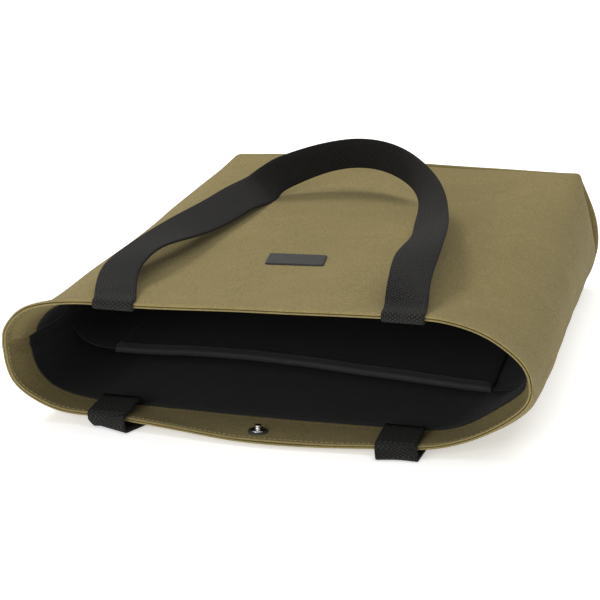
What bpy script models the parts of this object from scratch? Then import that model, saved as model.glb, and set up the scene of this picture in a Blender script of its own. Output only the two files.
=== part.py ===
"""Canvas laptop tote, lying on its back panel with its mouth open.

Frame: metres, +Z up. X runs along the mouth, +Y from the mouth to the bag's
base, Z = 0 is the surface that the back panel lies on. The origin is the
centre of the footprint. Design coordinates measure Y from the mouth's plane,
and every piece is moved by -Y_CENTRE at the end.
"""
import bpy
import bmesh
import numpy as np
from math import cos, sin, pi, radians, sqrt, tan

for ob in list(bpy.data.objects):
    bpy.data.objects.remove(ob, do_unlink=True)

# ---------------------------------------------------------------- dimensions
LENGTH = 0.393          # mouth to base
Y_CENTRE = 0.19355      # half of the footprint, folds of webbing included
SKEW = 0.009            # how far the base lies to one side of the mouth
CANVAS = 0.0012         # outer cloth
FACING = 0.0009         # canvas band inside the rim
LINING = 0.0006
GAP = 0.0003
FACING_W = 0.040        # width of the facing band
WEB_W = 0.0275          # webbing width
WEB_T = 0.0018          # webbing thickness
FRONT_Z = 0.0932        # top of the front panel at the rim
FRONT_Z_BASE = 0.0940   # and at the base
FRONT_CROWN = 0.0008
FRONT_DROP = 0.0028     # how much lower the front panel is at its sides
FRONT_HALF = (0.130, 0.1405)    # half width of the front panel, mouth and base
BACK_HALF = (0.132, 0.1415)     # half width of the back panel, mouth and base
RIM_LIFT = 0.0036       # the rear rim stands off the surface
RIM_RUN = 0.045         # over this length
FOLD_X = (-0.107, 0.087)        # rear webbing centres at the rim
REAR_HEADING = (radians(24), radians(5))    # the rear loop lies over to one side
REAR_RUN = (0.290, 0.276)       # and its legs are this long
GRIP_X = (-0.097, 0.092)        # front webbing centres at the rim
HINGE_Z = 0.050         # height of the line that the front panel folds about
DIVIDER_Z = 0.0229      # underside of the padded divider
DIVIDER_Y = (0.095, 0.3885)
STUD = (-0.0055, 0.0140)
BADGE = (-0.0033, 0.1100)
BADGE_SIZE = (0.040, 0.023, 0.0015)
BADGE_TURN = radians(6.0)

MATERIALS = {
    "canvas": ((0.262, 0.214, 0.098), 0.92, 0.0),
    "canvas_inner": ((0.190, 0.155, 0.072), 0.92, 0.0),
    "webbing": ((0.022, 0.021, 0.020), 0.85, 0.0),
    "lining": ((0.012, 0.012, 0.013), 0.70, 0.0),
    "foam": ((0.060, 0.060, 0.062), 0.95, 0.0),
    "binding": ((0.040, 0.040, 0.042), 0.80, 0.0),
    "badge": ((0.055, 0.054, 0.052), 0.55, 0.2),
    "snap_metal": ((0.60, 0.60, 0.61), 0.25, 1.0),
    "washer": ((0.030, 0.030, 0.030), 0.60, 0.0),
}


def material(slot):
    mat = bpy.data.materials.get(slot)
    if mat is None:
        colour, rough, metal = MATERIALS[slot]
        mat = bpy.data.materials.new(slot)
        mat.use_nodes = True
        shader = mat.node_tree.nodes["Principled BSDF"]
        shader.inputs["Base Color"].default_value = (*colour, 1.0)
        shader.inputs["Roughness"].default_value = rough
        shader.inputs["Metallic"].default_value = metal
    return mat


def finish_object(name, mesh, slot, pivot=(0.0, 0.0, 0.0)):
    """Give the mesh an object whose origin is at its pivot (design coordinates)."""
    px, py, pz = pivot
    for vert in mesh.vertices:
        vert.co.x -= px
        vert.co.y -= py
        vert.co.z -= pz
    ob = bpy.data.objects.new(name, mesh)
    bpy.context.scene.collection.objects.link(ob)
    ob.location = (px, py - Y_CENTRE, pz)
    mesh.materials.append(material(slot))
    return ob


def closed(name, verts, faces):
    mesh = bpy.data.meshes.new(name)
    mesh.from_pydata([tuple(map(float, v)) for v in verts], [], faces)
    work = bmesh.new()
    work.from_mesh(mesh)
    bmesh.ops.recalc_face_normals(work, faces=work.faces)
    if work.calc_volume(signed=True) < 0:
        bmesh.ops.reverse_faces(work, faces=work.faces)
    work.to_mesh(mesh)
    work.free()
    return mesh


def layer_mesh(name, lower, upper):
    """A closed solid between two grids of points of the same shape."""
    nu, nv = lower.shape[:2]
    verts = np.concatenate([lower.reshape(-1, 3), upper.reshape(-1, 3)])
    n = nu * nv
    faces = []
    for i in range(nu - 1):
        for j in range(nv - 1):
            a, b, c, d = i * nv + j, (i + 1) * nv + j, (i + 1) * nv + j + 1, i * nv + j + 1
            faces.append((a, d, c, b))
            faces.append((n + a, n + b, n + c, n + d))
    ring = [i * nv for i in range(nu)]
    ring += [(nu - 1) * nv + j for j in range(1, nv)]
    ring += [i * nv + nv - 1 for i in range(nu - 2, -1, -1)]
    ring += [j for j in range(nv - 2, 0, -1)]
    for k, a in enumerate(ring):
        b = ring[(k + 1) % len(ring)]
        faces.append((a, b, n + b, n + a))
    return closed(name, verts, faces)


def prism_mesh(name, outline, z0, z1):
    n = len(outline)
    verts = [(x, y, z0) for x, y in outline] + [(x, y, z1) for x, y in outline]
    faces = [tuple(range(n - 1, -1, -1)), tuple(range(n, 2 * n))]
    faces += [(i, (i + 1) % n, n + (i + 1) % n, n + i) for i in range(n)]
    return closed(name, verts, faces)


def centre_x(y):
    return SKEW * y / LENGTH


def front_half(y):
    t = y / LENGTH
    return FRONT_HALF[0] * (1 - t) + FRONT_HALF[1] * t


def back_half(y):
    t = y / LENGTH
    return BACK_HALF[0] * (1 - t) + BACK_HALF[1] * t


def front_z(x, y):
    """Height of the front panel's upper surface."""
    t = y / LENGTH
    u = min(1.0, abs(x - centre_x(y)) / front_half(y))
    return (FRONT_Z * (1 - t) + FRONT_Z_BASE * t - FRONT_DROP * u ** 2.5 * (1 - 0.6 * t)
            + FRONT_CROWN * 4 * t * (1 - t) * (1 - u * u))


def front_layer(name, y0, y1, inset, top, thick, rows, columns=14):
    """A cloth under the front panel's surface: top is its depth below it."""
    lower = np.zeros((columns + 1, rows + 1, 3))
    upper = np.zeros_like(lower)
    for i in range(columns + 1):
        for j in range(rows + 1):
            y = y0 + (y1 - y0) * j / rows
            x = centre_x(y) + (2 * i / columns - 1) * (front_half(y) - inset)
            z = front_z(x, y)
            upper[i, j] = (x, y, z - top)
            lower[i, j] = (x, y, z - top - thick)
    return layer_mesh(name, lower, upper)


def back_rise(y):
    """How far the back panel stands up towards the rim."""
    return RIM_LIFT * max(0.0, 1 - y / RIM_RUN)


def back_layer(name, y0, y1, inset, z0, z1, breaks=()):
    """A flat cloth on the back panel, between z0(y) and z1(y)."""
    ys = [y0, *[b for b in breaks if y0 < b < y1], y1]
    lower = np.zeros((2, len(ys), 3))
    upper = np.zeros_like(lower)
    for j, y in enumerate(ys):
        for i, side in enumerate((-1, 1)):
            x = centre_x(y) + side * (back_half(y) - inset)
            lower[i, j] = (x, y, z0(y))
            upper[i, j] = (x, y, z1(y))
    return layer_mesh(name, lower, upper)


def natural_spline(points, count, ts=None):
    """Evenly spaced natural cubic spline through rows of points."""
    p = np.asarray(points, float)
    n = len(p) - 1
    a = np.zeros((n + 1, n + 1))
    r = np.zeros_like(p)
    a[0, 0] = a[n, n] = 1.0
    for i in range(1, n):
        a[i, i - 1 : i + 2] = (1, 4, 1)
        r[i] = 6 * (p[i - 1] - 2 * p[i] + p[i + 1])
    m = np.linalg.solve(a, r)
    out, slope = [], []
    for t in (np.linspace(0, n, count) if ts is None else ts):
        i = min(int(t), n - 1)
        f = t - i
        out.append(m[i] * (1 - f) ** 3 / 6 + m[i + 1] * f ** 3 / 6
                   + (p[i] - m[i] / 6) * (1 - f) + (p[i + 1] - m[i + 1] / 6) * f)
        slope.append(-m[i] * (1 - f) ** 2 / 2 + m[i + 1] * f ** 2 / 2
                     - (p[i] - m[i] / 6) + (p[i + 1] - m[i + 1] / 6))
    return np.array(out), np.array(slope)


# ------------------------------------------------------------ bag side walls
# Half of the outer section, from the back panel's edge to the front panel's,
# as (distance from the middle, height), at the mouth and at the base.
SIDE_MOUTH = [(0.1326, 0.0056), (0.1510, 0.0140), (0.1660, 0.0290), (0.1745, 0.0500),
              (0.1690, 0.0700), (0.1560, 0.0835), (0.1312, 0.0904)]
SIDE_BASE = [(0.1422, 0.0010), (0.1500, 0.0090), (0.1555, 0.0220), (0.1575, 0.0380),
             (0.1550, 0.0600), (0.1490, 0.0800), (0.1418, 0.0915)]


def side_layer(name, side, y0, y1, depth, thick, rows, columns=10, trim=0.0):
    """A cloth along a side of the bag, depth inside the outer surface."""
    start, end = trim, 6 - trim
    ts = np.linspace(start, end, columns + 1)
    grids = []
    for inward in (depth, depth + thick):
        rows_of = []
        for section in (SIDE_MOUTH, SIDE_BASE):
            pts, slope = natural_spline(section, 0, ts)
            normal = np.stack([-slope[:, 1], slope[:, 0]], 1)
            normal /= np.linalg.norm(normal, axis=1, keepdims=True)
            rows_of.append(pts + normal * inward)
        grid = np.zeros((columns + 1, rows + 1, 3))
        for j in range(rows + 1):
            y = y0 + (y1 - y0) * j / rows
            t = y / LENGTH
            section = rows_of[0] * (1 - t) + rows_of[1] * t
            grid[:, j, 0] = centre_x(y) + side * section[:, 0]
            grid[:, j, 1] = y
            grid[:, j, 2] = section[:, 1]
        grids.append(grid)
    return layer_mesh(name, grids[0], grids[1])


# --------------------------------------------------------- rear webbing route
def rear_route():
    """Corner points of the rear handle's loop, which lies flat under the bag."""
    ends = []
    for x, heading, run in zip(FOLD_X, REAR_HEADING, REAR_RUN):
        start = (x + 0.0030 * tan(heading), 0.0030)
        ends.append((start, (start[0] + run * sin(heading), start[1] + run * cos(heading))))
    return [ends[0][0], ends[0][1], ends[1][1], ends[1][0]]


def band(points, half):
    """The outline of a strip of a constant width along a route with mitred corners."""
    p = [np.array(q, float) for q in points]
    left, right = [], []
    for i, q in enumerate(p):
        dirs = []
        if i > 0:
            dirs.append((p[i] - p[i - 1]) / np.linalg.norm(p[i] - p[i - 1]))
        if i < len(p) - 1:
            dirs.append((p[i + 1] - p[i]) / np.linalg.norm(p[i + 1] - p[i]))
        if len(dirs) == 1:
            # the ends are cut along X, beside the rim
            d = dirs[0]
            off = np.array([1.0, 0.0]) * half / abs(d[1])
            off = off if d[1] < 0 else -off
            left.append(q + off)
            right.append(q - off)
        else:
            n0 = np.array([-dirs[0][1], dirs[0][0]])
            n1 = np.array([-dirs[1][1], dirs[1][0]])
            m = (n0 + n1) / np.linalg.norm(n0 + n1)
            left.append(q + m * half / (m @ n0))
            right.append(q - m * half / (m @ n0))
    return [tuple(v) for v in left] + [tuple(v) for v in right[::-1]]


def cut(ob, name, outline, z0, z1, operation="DIFFERENCE"):
    tool = bpy.data.objects.new(name, prism_mesh(name, outline, z0, z1))
    bpy.context.scene.collection.objects.link(tool)
    tool.location = (0.0, -Y_CENTRE, 0.0)
    tool.hide_render = True
    tool.display_type = "WIRE"
    mod = ob.modifiers.new(name, "BOOLEAN")
    mod.operation = operation
    mod.solver = "EXACT"
    mod.object = tool


def fold_mesh(name, x, inner_z, rim_z, outer_z, tail, outer_y, up):
    """Webbing wrapped round a rim at y = 0: a tail inside, an arc, a lip outside.

    inner_z(y) and outer_z are centreline heights of the two runs. up is +1
    where the outer run is above the rim.
    """
    path = [(tail, inner_z(tail)), (tail * 0.5, inner_z(tail * 0.5)), (-0.0015, inner_z(0.0))]
    zc, r = (inner_z(0.0) + outer_z) / 2, abs(outer_z - inner_z(0.0)) / 2
    for k in range(1, 10):
        a = pi * k / 9
        path.append((-0.0015 - r * sin(a), zc - up * r * cos(a)))
    path.append((outer_y, outer_z))
    p = np.array(path)
    d = np.gradient(p, axis=0)
    d /= np.linalg.norm(d, axis=1, keepdims=True)
    n = np.stack([-d[:, 1], d[:, 0]], 1)
    lower = np.zeros((2, len(p), 3))
    upper = np.zeros_like(lower)
    for i, side in enumerate((-1, 1)):
        for grid, s in ((lower, -0.5), (upper, 0.5)):
            q = p + n * s * WEB_T
            grid[i, :, 0] = x + side * WEB_W / 2
            grid[i, :, 1:] = q
    return layer_mesh(name, lower, upper)


def disc_mesh(name, x, y, profile, segments=20):
    """A turned piece: profile is (radius, height) from the middle of its foot up."""
    work = bmesh.new()
    verts = [work.verts.new((r, 0.0, z)) for r, z in profile]
    edges = [work.edges.new((verts[i], verts[i + 1])) for i in range(len(verts) - 1)]
    if profile[0][0] > 1e-6:
        edges.append(work.edges.new((verts[-1], verts[0])))
    bmesh.ops.spin(work, geom=verts + edges, cent=(0, 0, 0), axis=(0, 0, 1),
                   angle=2 * pi, steps=segments, use_merge=True)
    bmesh.ops.remove_doubles(work, verts=work.verts, dist=1e-7)
    bmesh.ops.recalc_face_normals(work, faces=work.faces)
    if work.calc_volume(signed=True) < 0:
        bmesh.ops.reverse_faces(work, faces=work.faces)
    for v in work.verts:
        v.co.x += x
        v.co.y += y
    mesh = bpy.data.meshes.new(name)
    work.to_mesh(mesh)
    work.free()
    return mesh


# --------------------------------------------------------------- outer canvas
route = rear_route()
groove = band(route, WEB_W / 2 + 0.0012)
ridge = band(route, WEB_W / 2 + 0.0030)
for k, heading in ((0, REAR_HEADING[0]), (7, REAR_HEADING[0]), (3, REAR_HEADING[1]), (4, REAR_HEADING[1])):
    groove[k] = (groove[k][0] - 0.01 * tan(heading), -0.007)
END = LENGTH - 0.0016

back_mesh = back_layer("back_panel", 0.0, END, 0.0,
                       lambda y: back_rise(y), lambda y: back_rise(y) + CANVAS, (RIM_RUN,))
back_panel = finish_object("back_panel", back_mesh, "canvas")
ridge_in = list(ridge)
for k, heading in ((0, REAR_HEADING[0]), (7, REAR_HEADING[0]), (3, REAR_HEADING[1]), (4, REAR_HEADING[1])):
    ridge_in[k] = (ridge_in[k][0] + 0.0075 * tan(heading), 0.0105)
cut(back_panel, "ridge_tool", ridge_in, 0.0004, 0.0036, "UNION")
cut(back_panel, "groove_tool", groove, -0.002, 0.0024)

finish_object("front_panel", front_layer("front_panel", 0.0, LENGTH, 0.0, 0.0, CANVAS, 10), "canvas",
              (0.0, LENGTH, HINGE_Z))
for side, word in ((-1, "left"), (1, "right")):
    finish_object(f"{word}_side_wall", side_layer(f"{word}_side_wall", side, 0.0, END, 0.0, CANVAS, 4), "canvas")


def base_outline(depth, low, high):
    pts, slope = natural_spline(SIDE_BASE, 13)
    normal = np.stack([-slope[:, 1], slope[:, 0]], 1)
    normal /= np.linalg.norm(normal, axis=1, keepdims=True)
    half = pts + normal * depth
    half = [(x, min(max(z, low), high)) for x, z in half]
    right = [(SKEW + x, z) for x, z in half]
    left = [(SKEW - x, z) for x, z in reversed(half)]
    return right + left


def end_plate(name, outline, y0, y1):
    n = len(outline)
    verts = [(x, y0, z) for x, z in outline] + [(x, y1, z) for x, z in outline]
    faces = [tuple(range(n)), tuple(range(2 * n - 1, n - 1, -1))]
    faces += [(i, n + i, n + (i + 1) % n, (i + 1) % n) for i in range(n)]
    return closed(name, verts, faces)


out = base_outline(0.0, 0.0010, 0.0912)
out[0] = (out[0][0], 0.0)
out[-1] = (out[-1][0], 0.0)
finish_object("base_panel", end_plate("base_panel", out, LENGTH - CANVAS, LENGTH), "canvas")

# ----------------------------------------------------- facing band in the rim
FACE_IN = 0.0014
finish_object("back_facing", back_layer(
    "back_facing", 0.0005, 0.0410, FACE_IN,
    lambda y: 0.0052 - 0.0006 * y / 0.041, lambda y: 0.0052 - 0.0006 * y / 0.041 + FACING), "canvas_inner")
finish_object("front_facing", front_layer(
    "front_facing", 0.0005, FACING_W, FACE_IN, CANVAS + 0.0005, FACING, 2), "canvas_inner",
              (0.0, LENGTH, HINGE_Z))
for side, word in ((-1, "left"), (1, "right")):
    finish_object(f"{word}_facing", side_layer(
        f"{word}_facing", side, 0.0005, FACING_W, CANVAS + 0.0009, FACING, 1, trim=0.12), "canvas_inner")

# --------------------------------------------------------------- padding, lining
pad = finish_object("back_pad", back_layer(
    "back_pad", 0.0460, LENGTH - 0.0030, 0.004, lambda y: 0.0015, lambda y: 0.0047), "foam")
cut(pad, "pad_groove_tool", band(route, WEB_W / 2 + 0.0034), -0.001, 0.0039)
finish_object("back_lining", back_layer(
    "back_lining", 0.0420, LENGTH - 0.0025, 0.003, lambda y: 0.0050, lambda y: 0.0056), "lining")
finish_object("front_lining", front_layer(
    "front_lining", FACING_W + 0.0008, LENGTH - 0.0080, 0.003, CANVAS + 0.0005, LINING, 8), "lining",
              (0.0, LENGTH, HINGE_Z))
for side, word in ((-1, "left"), (1, "right")):
    finish_object(f"{word}_lining", side_layer(
        f"{word}_lining", side, FACING_W + 0.0010, LENGTH - 0.0028, CANVAS + 0.0009, LINING, 3, trim=0.16), "lining")
inner = base_outline(CANVAS + 0.0014, 0.0060, 0.0902)
finish_object("base_lining", end_plate(
    "base_lining", inner, LENGTH - CANVAS - 0.0009, LENGTH - CANVAS - GAP), "lining")

# -------------------------------------------------------------- laptop divider
D0, D1 = DIVIDER_Y
HALF_D = 0.128


def divider_layer(name, slot, y0, y1, z0, z1, half=HALF_D):
    lower = np.zeros((2, 2, 3))
    upper = np.zeros_like(lower)
    for j, y in enumerate((y0, y1)):
        for i, side in enumerate((-1, 1)):
            x = centre_x(y) + side * half
            lower[i, j] = (x, y, z0)
            upper[i, j] = (x, y, z1)
    return finish_object(name, layer_mesh(name, lower, upper), slot, (0.0, D1, DIVIDER_Z + 0.0018))


divider_layer("divider_back_cloth", "lining", D0 + 0.0100, D1, DIVIDER_Z, DIVIDER_Z + 0.0004)
divider_layer("divider_foam", "foam", D0 + 0.0110, D1 - 0.004, DIVIDER_Z + 0.0007, DIVIDER_Z + 0.0031, HALF_D - 0.002)
divider_layer("divider_front_cloth", "lining", D0 + 0.0100, D1, DIVIDER_Z + 0.0034, DIVIDER_Z + 0.0038)
hem = [(0.0, 0.0), (0.0097, 0.0), (0.0097, 0.0038), (0.0, 0.0038)]
lower = np.zeros((2, 2, 3))
upper = np.zeros_like(lower)
for j, y in enumerate((D0, D0 + 0.0097)):
    for i, side in enumerate((-1, 1)):
        lower[i, j] = (centre_x(y) + side * HALF_D, y, DIVIDER_Z)
        upper[i, j] = (centre_x(y) + side * HALF_D, y, DIVIDER_Z + 0.0038)
binding_mesh = layer_mesh("divider_binding", lower, upper)
binding = finish_object("divider_binding", binding_mesh, "binding", (0.0, D1, DIVIDER_Z + 0.0018))
bevel = binding.modifiers.new("round", "BEVEL")
bevel.width = 0.0012
bevel.segments = 2
bevel.limit_method = "ANGLE"

# cloth wings that join the divider to the side seams
for side, word in ((-1, "left"), (1, "right")):
    section = [(HALF_D + 0.0006, 0.0249), (0.1440, 0.0300), (0.1590, 0.0440)]
    lower = np.zeros((3, 3, 3))
    upper = np.zeros_like(lower)
    for j, y in enumerate((D0, 0.24, D1 - 0.001)):
        t = y / LENGTH
        for i, (dx, z) in enumerate(section):
            squeeze = 1.0 if i == 0 else 1.0 - (0.075 if i == 2 else 0.045) * (t - 0.24) / 0.76
            x = centre_x(y) + side * dx * squeeze
            lower[i, j] = (x, y, z - 0.0004)
            upper[i, j] = (x, y, z + 0.0004)
    finish_object(f"divider_wing_{word}", layer_mesh(f"divider_wing_{word}", lower, upper), "lining")

# ------------------------------------------------------------- webbing handles
HW = WEB_W / 2
front_mid = [front_z(x, 0.0) for x in GRIP_X]
for (x, word) in zip(GRIP_X, ("left", "right")):
    top = front_z(x, 0.0)
    deep = top - CANVAS - 0.0005 - FACING - 0.0009 - WEB_T / 2
    finish_object(f"front_handle_tail_{word}", fold_mesh(
        f"front_handle_tail_{word}", x, lambda y, d=deep: d, top, FRONT_Z + 0.0014,
        0.036, 0.0008, 1), "webbing", (0.0, LENGTH, HINGE_Z))
for (x, word) in zip(FOLD_X, ("left", "right")):
    finish_object(f"back_handle_tail_{word}", fold_mesh(
        f"back_handle_tail_{word}", x, lambda y: 0.0074 - 0.0004 * y / 0.028, 0.0, 0.0012,
        0.028, 0.0008, -1), "webbing")

# the front loop: route of its middle line, and how far it leans from flat (degrees)
LOOP = [(GRIP_X[0], 0.0040, FRONT_Z + 0.0016), (-0.1000, 0.0760, 0.1035), (-0.0775, 0.2200, 0.1065),
        (-0.0560, 0.2745, 0.1135), (-0.0040, 0.2985, 0.1255), (0.0485, 0.2730, 0.1205),
        (0.0760, 0.1880, 0.1110), (0.0885, 0.0600, 0.1080), (GRIP_X[1], 0.0040, FRONT_Z + 0.0016)]
LEAN = [0, 33, 37, 86, 112, 92, 33, 2, 0]
pts, slope = natural_spline(LOOP, 57)
lean = np.radians(natural_spline([[v] for v in LEAN], 57)[0][:, 0])
T = slope / np.linalg.norm(slope, axis=1, keepdims=True)
Z = np.array([0.0, 0.0, 1.0])
Nz = Z - (T @ Z)[:, None] * T
Nz /= np.linalg.norm(Nz, axis=1, keepdims=True)
Nh = np.cross(T, Nz)
N = np.cos(lean)[:, None] * Nz + np.sin(lean)[:, None] * Nh
W = np.cross(N, T)
lower = np.stack([pts + W * HW - N * WEB_T / 2, pts - W * HW - N * WEB_T / 2])
upper = np.stack([pts + W * HW + N * WEB_T / 2, pts - W * HW + N * WEB_T / 2])
FRONT_PIVOT = (0.0, -0.0020, FRONT_Z + 0.0014)
finish_object("front_handle", layer_mesh("front_handle", lower, upper), "webbing", FRONT_PIVOT)

BACK_PIVOT = (0.0, -0.0015, 0.0012)
finish_object("back_handle", prism_mesh("back_handle", band(route, HW), GAP, GAP + WEB_T), "webbing", BACK_PIVOT)

# --------------------------------------------------------------- press fastener
sx, sy = STUD
z0 = 0.0052 - 0.0006 * sy / 0.041 + FACING + GAP
finish_object("stud_washer", disc_mesh("stud_washer", sx, sy, [
    (0.0, z0), (0.0065, z0), (0.0065, z0 + 0.0006), (0.0060, z0 + 0.0010), (0.0, z0 + 0.0010)]), "washer")
z1 = z0 + 0.0010 + GAP
finish_object("snap_stud", disc_mesh("snap_stud", sx, sy, [
    (0.0, z1), (0.0050, z1), (0.0050, z1 + 0.0004), (0.0044, z1 + 0.0008), (0.0021, z1 + 0.0009),
    (0.0018, z1 + 0.0017), (0.0024, z1 + 0.0025), (0.0019, z1 + 0.0033), (0.0, z1 + 0.0036)]), "snap_metal")
zb = 0.0052 - 0.0006 * (sy + 0.0045) / 0.041 - GAP
finish_object("stud_backing", disc_mesh("stud_backing", sx, sy, [
    (0.0, zb - 0.0003), (0.0045, zb - 0.0003), (0.0045, zb), (0.0, zb)]), "snap_metal")
zs = front_z(sx, sy) - CANVAS - 0.0005 - FACING - 0.0004
finish_object("socket_washer", disc_mesh("socket_washer", sx, sy, [
    (0.0, zs - 0.0010), (0.0060, zs - 0.0010), (0.0065, zs - 0.0006), (0.0065, zs), (0.0, zs)]), "washer",
              (0.0, LENGTH, HINGE_Z))
zs -= 0.0010 + GAP
finish_object("snap_socket", disc_mesh("snap_socket", sx, sy, [
    (0.0031, zs - 0.0034), (0.0042, zs - 0.0034), (0.0046, zs - 0.0027), (0.0056, zs - 0.0006),
    (0.0058, zs), (0.0031, zs)]), "snap_metal", (0.0, LENGTH, HINGE_Z))

# ------------------------------------------------------------------ badge plate
bx, by = BADGE
bw, bl, bt = BADGE_SIZE
cz = max(front_z(bx + a, by + b) for a in (-bw / 2, 0, bw / 2) for b in (-bl / 2, 0, bl / 2)) + GAP


def turned_box(name, w, l, z0, z1, round_by):
    outline = []
    for cx, cy, a0 in ((1, 1, 0), (-1, 1, 90), (-1, -1, 180), (1, -1, 270)):
        for k in range(4):
            a = radians(a0 + 30 * k)
            x = cx * (w / 2 - round_by) + round_by * cos(a)
            y = cy * (l / 2 - round_by) + round_by * sin(a)
            outline.append((bx + x * cos(BADGE_TURN) - y * sin(BADGE_TURN),
                            by + x * sin(BADGE_TURN) + y * cos(BADGE_TURN)))
    return prism_mesh(name, outline, z0, z1)


plate = finish_object("badge_plate", turned_box("badge_plate", bw, bl, cz, cz + bt, 0.0012), "badge",
                      (0.0, LENGTH, HINGE_Z))
bevel = plate.modifiers.new("edge", "BEVEL")
bevel.width = 0.0003
bevel.segments = 2
bevel.limit_method = "ANGLE"
low = min(front_z(bx + a, by + b) for a in (-bw / 2, 0, bw / 2) for b in (-bl / 2, 0, bl / 2))
finish_object("badge_backing", turned_box(
    "badge_backing", bw - 0.008, bl - 0.009, low - CANVAS - 0.0005 - LINING - 0.0011,
    low - CANVAS - 0.0005 - LINING - 0.0005, 0.001), "snap_metal", (0.0, LENGTH, HINGE_Z))
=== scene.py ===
"""Canvas laptop tote lying on its back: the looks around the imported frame.

Design coordinates (X along the mouth, Y from the mouth's plane to the base, Z up)
are the row frame moved by YC along Y.
"""
import bpy, bmesh, math
import numpy as np
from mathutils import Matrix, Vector, noise


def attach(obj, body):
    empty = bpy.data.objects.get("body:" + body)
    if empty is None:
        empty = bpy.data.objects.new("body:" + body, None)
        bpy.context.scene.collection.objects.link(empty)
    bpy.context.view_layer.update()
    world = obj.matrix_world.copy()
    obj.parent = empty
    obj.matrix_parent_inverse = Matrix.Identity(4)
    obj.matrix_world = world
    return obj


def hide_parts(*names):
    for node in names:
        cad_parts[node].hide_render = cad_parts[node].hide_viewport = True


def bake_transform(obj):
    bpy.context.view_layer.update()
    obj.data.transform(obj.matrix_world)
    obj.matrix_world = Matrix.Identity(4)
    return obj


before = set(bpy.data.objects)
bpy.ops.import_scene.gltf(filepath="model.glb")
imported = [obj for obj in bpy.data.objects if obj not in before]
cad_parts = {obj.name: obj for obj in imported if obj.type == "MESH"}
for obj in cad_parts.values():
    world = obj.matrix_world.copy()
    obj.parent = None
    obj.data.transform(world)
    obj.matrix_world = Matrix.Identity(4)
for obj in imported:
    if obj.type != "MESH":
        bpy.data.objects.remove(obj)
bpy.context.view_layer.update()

YC = 0.19355
L = 0.393
CANVAS = 0.0013
FACING = 0.0012
WEB_W = 0.0275
WEB_T = 0.0018


# ------------------------------------------------------------------ mathematics
def spline_second(t, p, total):
    n = len(t)
    h = np.array([t[(i + 1) % n] + (total if i == n - 1 else 0) - t[i] for i in range(n)])
    a = np.zeros((n, n))
    r = np.zeros_like(p)
    for i in range(n):
        hm, hi = h[i - 1], h[i]
        a[i, i - 1] += hm
        a[i, i] += 2 * (hm + hi)
        a[i, (i + 1) % n] += hi
        r[i] = 6 * ((p[(i + 1) % n] - p[i]) / hi - (p[i] - p[i - 1]) / hm)
    return np.linalg.solve(a, r), h


def periodic(t, p, total, s):
    """Periodic cubic spline through p (n, m) at parameters t, evaluated at s."""
    p = np.asarray(p, float)
    m, h = spline_second(t, p, total)
    n = len(t)
    out = np.zeros((len(s), p.shape[1]))
    for k, v in enumerate(s):
        v = v % total
        i = int(np.searchsorted(t, v, side="right") - 1)
        j = (i + 1) % n
        f = (v - t[i]) / h[i]
        c = h[i] ** 2 / 6
        out[k] = (p[i] * (1 - f) + p[j] * f
                  + c * (((1 - f) ** 3 - (1 - f)) * m[i] + (f ** 3 - f) * m[j]))
    return out


def natural(points, ts):
    """Evenly spaced natural cubic spline: values and slopes."""
    p = np.asarray(points, float)
    n = len(p) - 1
    a = np.zeros((n + 1, n + 1))
    r = np.zeros_like(p)
    a[0, 0] = a[n, n] = 1.0
    for i in range(1, n):
        a[i, i - 1:i + 2] = (1, 4, 1)
        r[i] = 6 * (p[i - 1] - 2 * p[i] + p[i + 1])
    m = np.linalg.solve(a, r)
    out, slope = [], []
    for t in ts:
        i = min(int(t), n - 1)
        f = t - i
        out.append(m[i] * (1 - f) ** 3 / 6 + m[i + 1] * f ** 3 / 6
                   + (p[i] - m[i] / 6) * (1 - f) + (p[i + 1] - m[i + 1] / 6) * f)
        slope.append(-m[i] * (1 - f) ** 2 / 2 + m[i + 1] * f ** 2 / 2
                     - (p[i] - m[i] / 6) + (p[i + 1] - m[i + 1] / 6))
    return np.array(out), np.array(slope)


def pchip(xk, yk, x):
    """Shape-keeping cubic through stations: yk is (K, ...)."""
    xk = np.asarray(xk, float)
    h = np.diff(xk)
    shape = (len(h),) + (1,) * (yk.ndim - 1)
    d = np.diff(yk, axis=0) / h.reshape(shape)
    m = np.zeros_like(yk)
    m[0], m[-1] = d[0], d[-1]
    for k in range(1, len(xk) - 1):
        w1, w2 = 2 * h[k] + h[k - 1], h[k] + 2 * h[k - 1]
        same = d[k - 1] * d[k] > 0
        safe0 = np.where(same, d[k - 1], 1.0)
        safe1 = np.where(same, d[k], 1.0)
        m[k] = np.where(same, (w1 + w2) / (w1 / safe0 + w2 / safe1), 0.0)
    out = []
    for v in x:
        i = int(min(max(np.searchsorted(xk, v, side="right") - 1, 0), len(h) - 1))
        f = (v - xk[i]) / h[i]
        h00, h10 = 2 * f ** 3 - 3 * f ** 2 + 1, f ** 3 - 2 * f ** 2 + f
        h01, h11 = -2 * f ** 3 + 3 * f ** 2, f ** 3 - f ** 2
        out.append(h00 * yk[i] + h10 * h[i] * m[i] + h01 * yk[i + 1] + h11 * h[i] * m[i + 1])
    return np.array(out)


def unit(v):
    return v / np.maximum(np.linalg.norm(v, axis=-1, keepdims=True), 1e-12)


def smooth(t):
    t = np.clip(t, 0, 1)
    return t * t * (3 - 2 * t)


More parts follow.
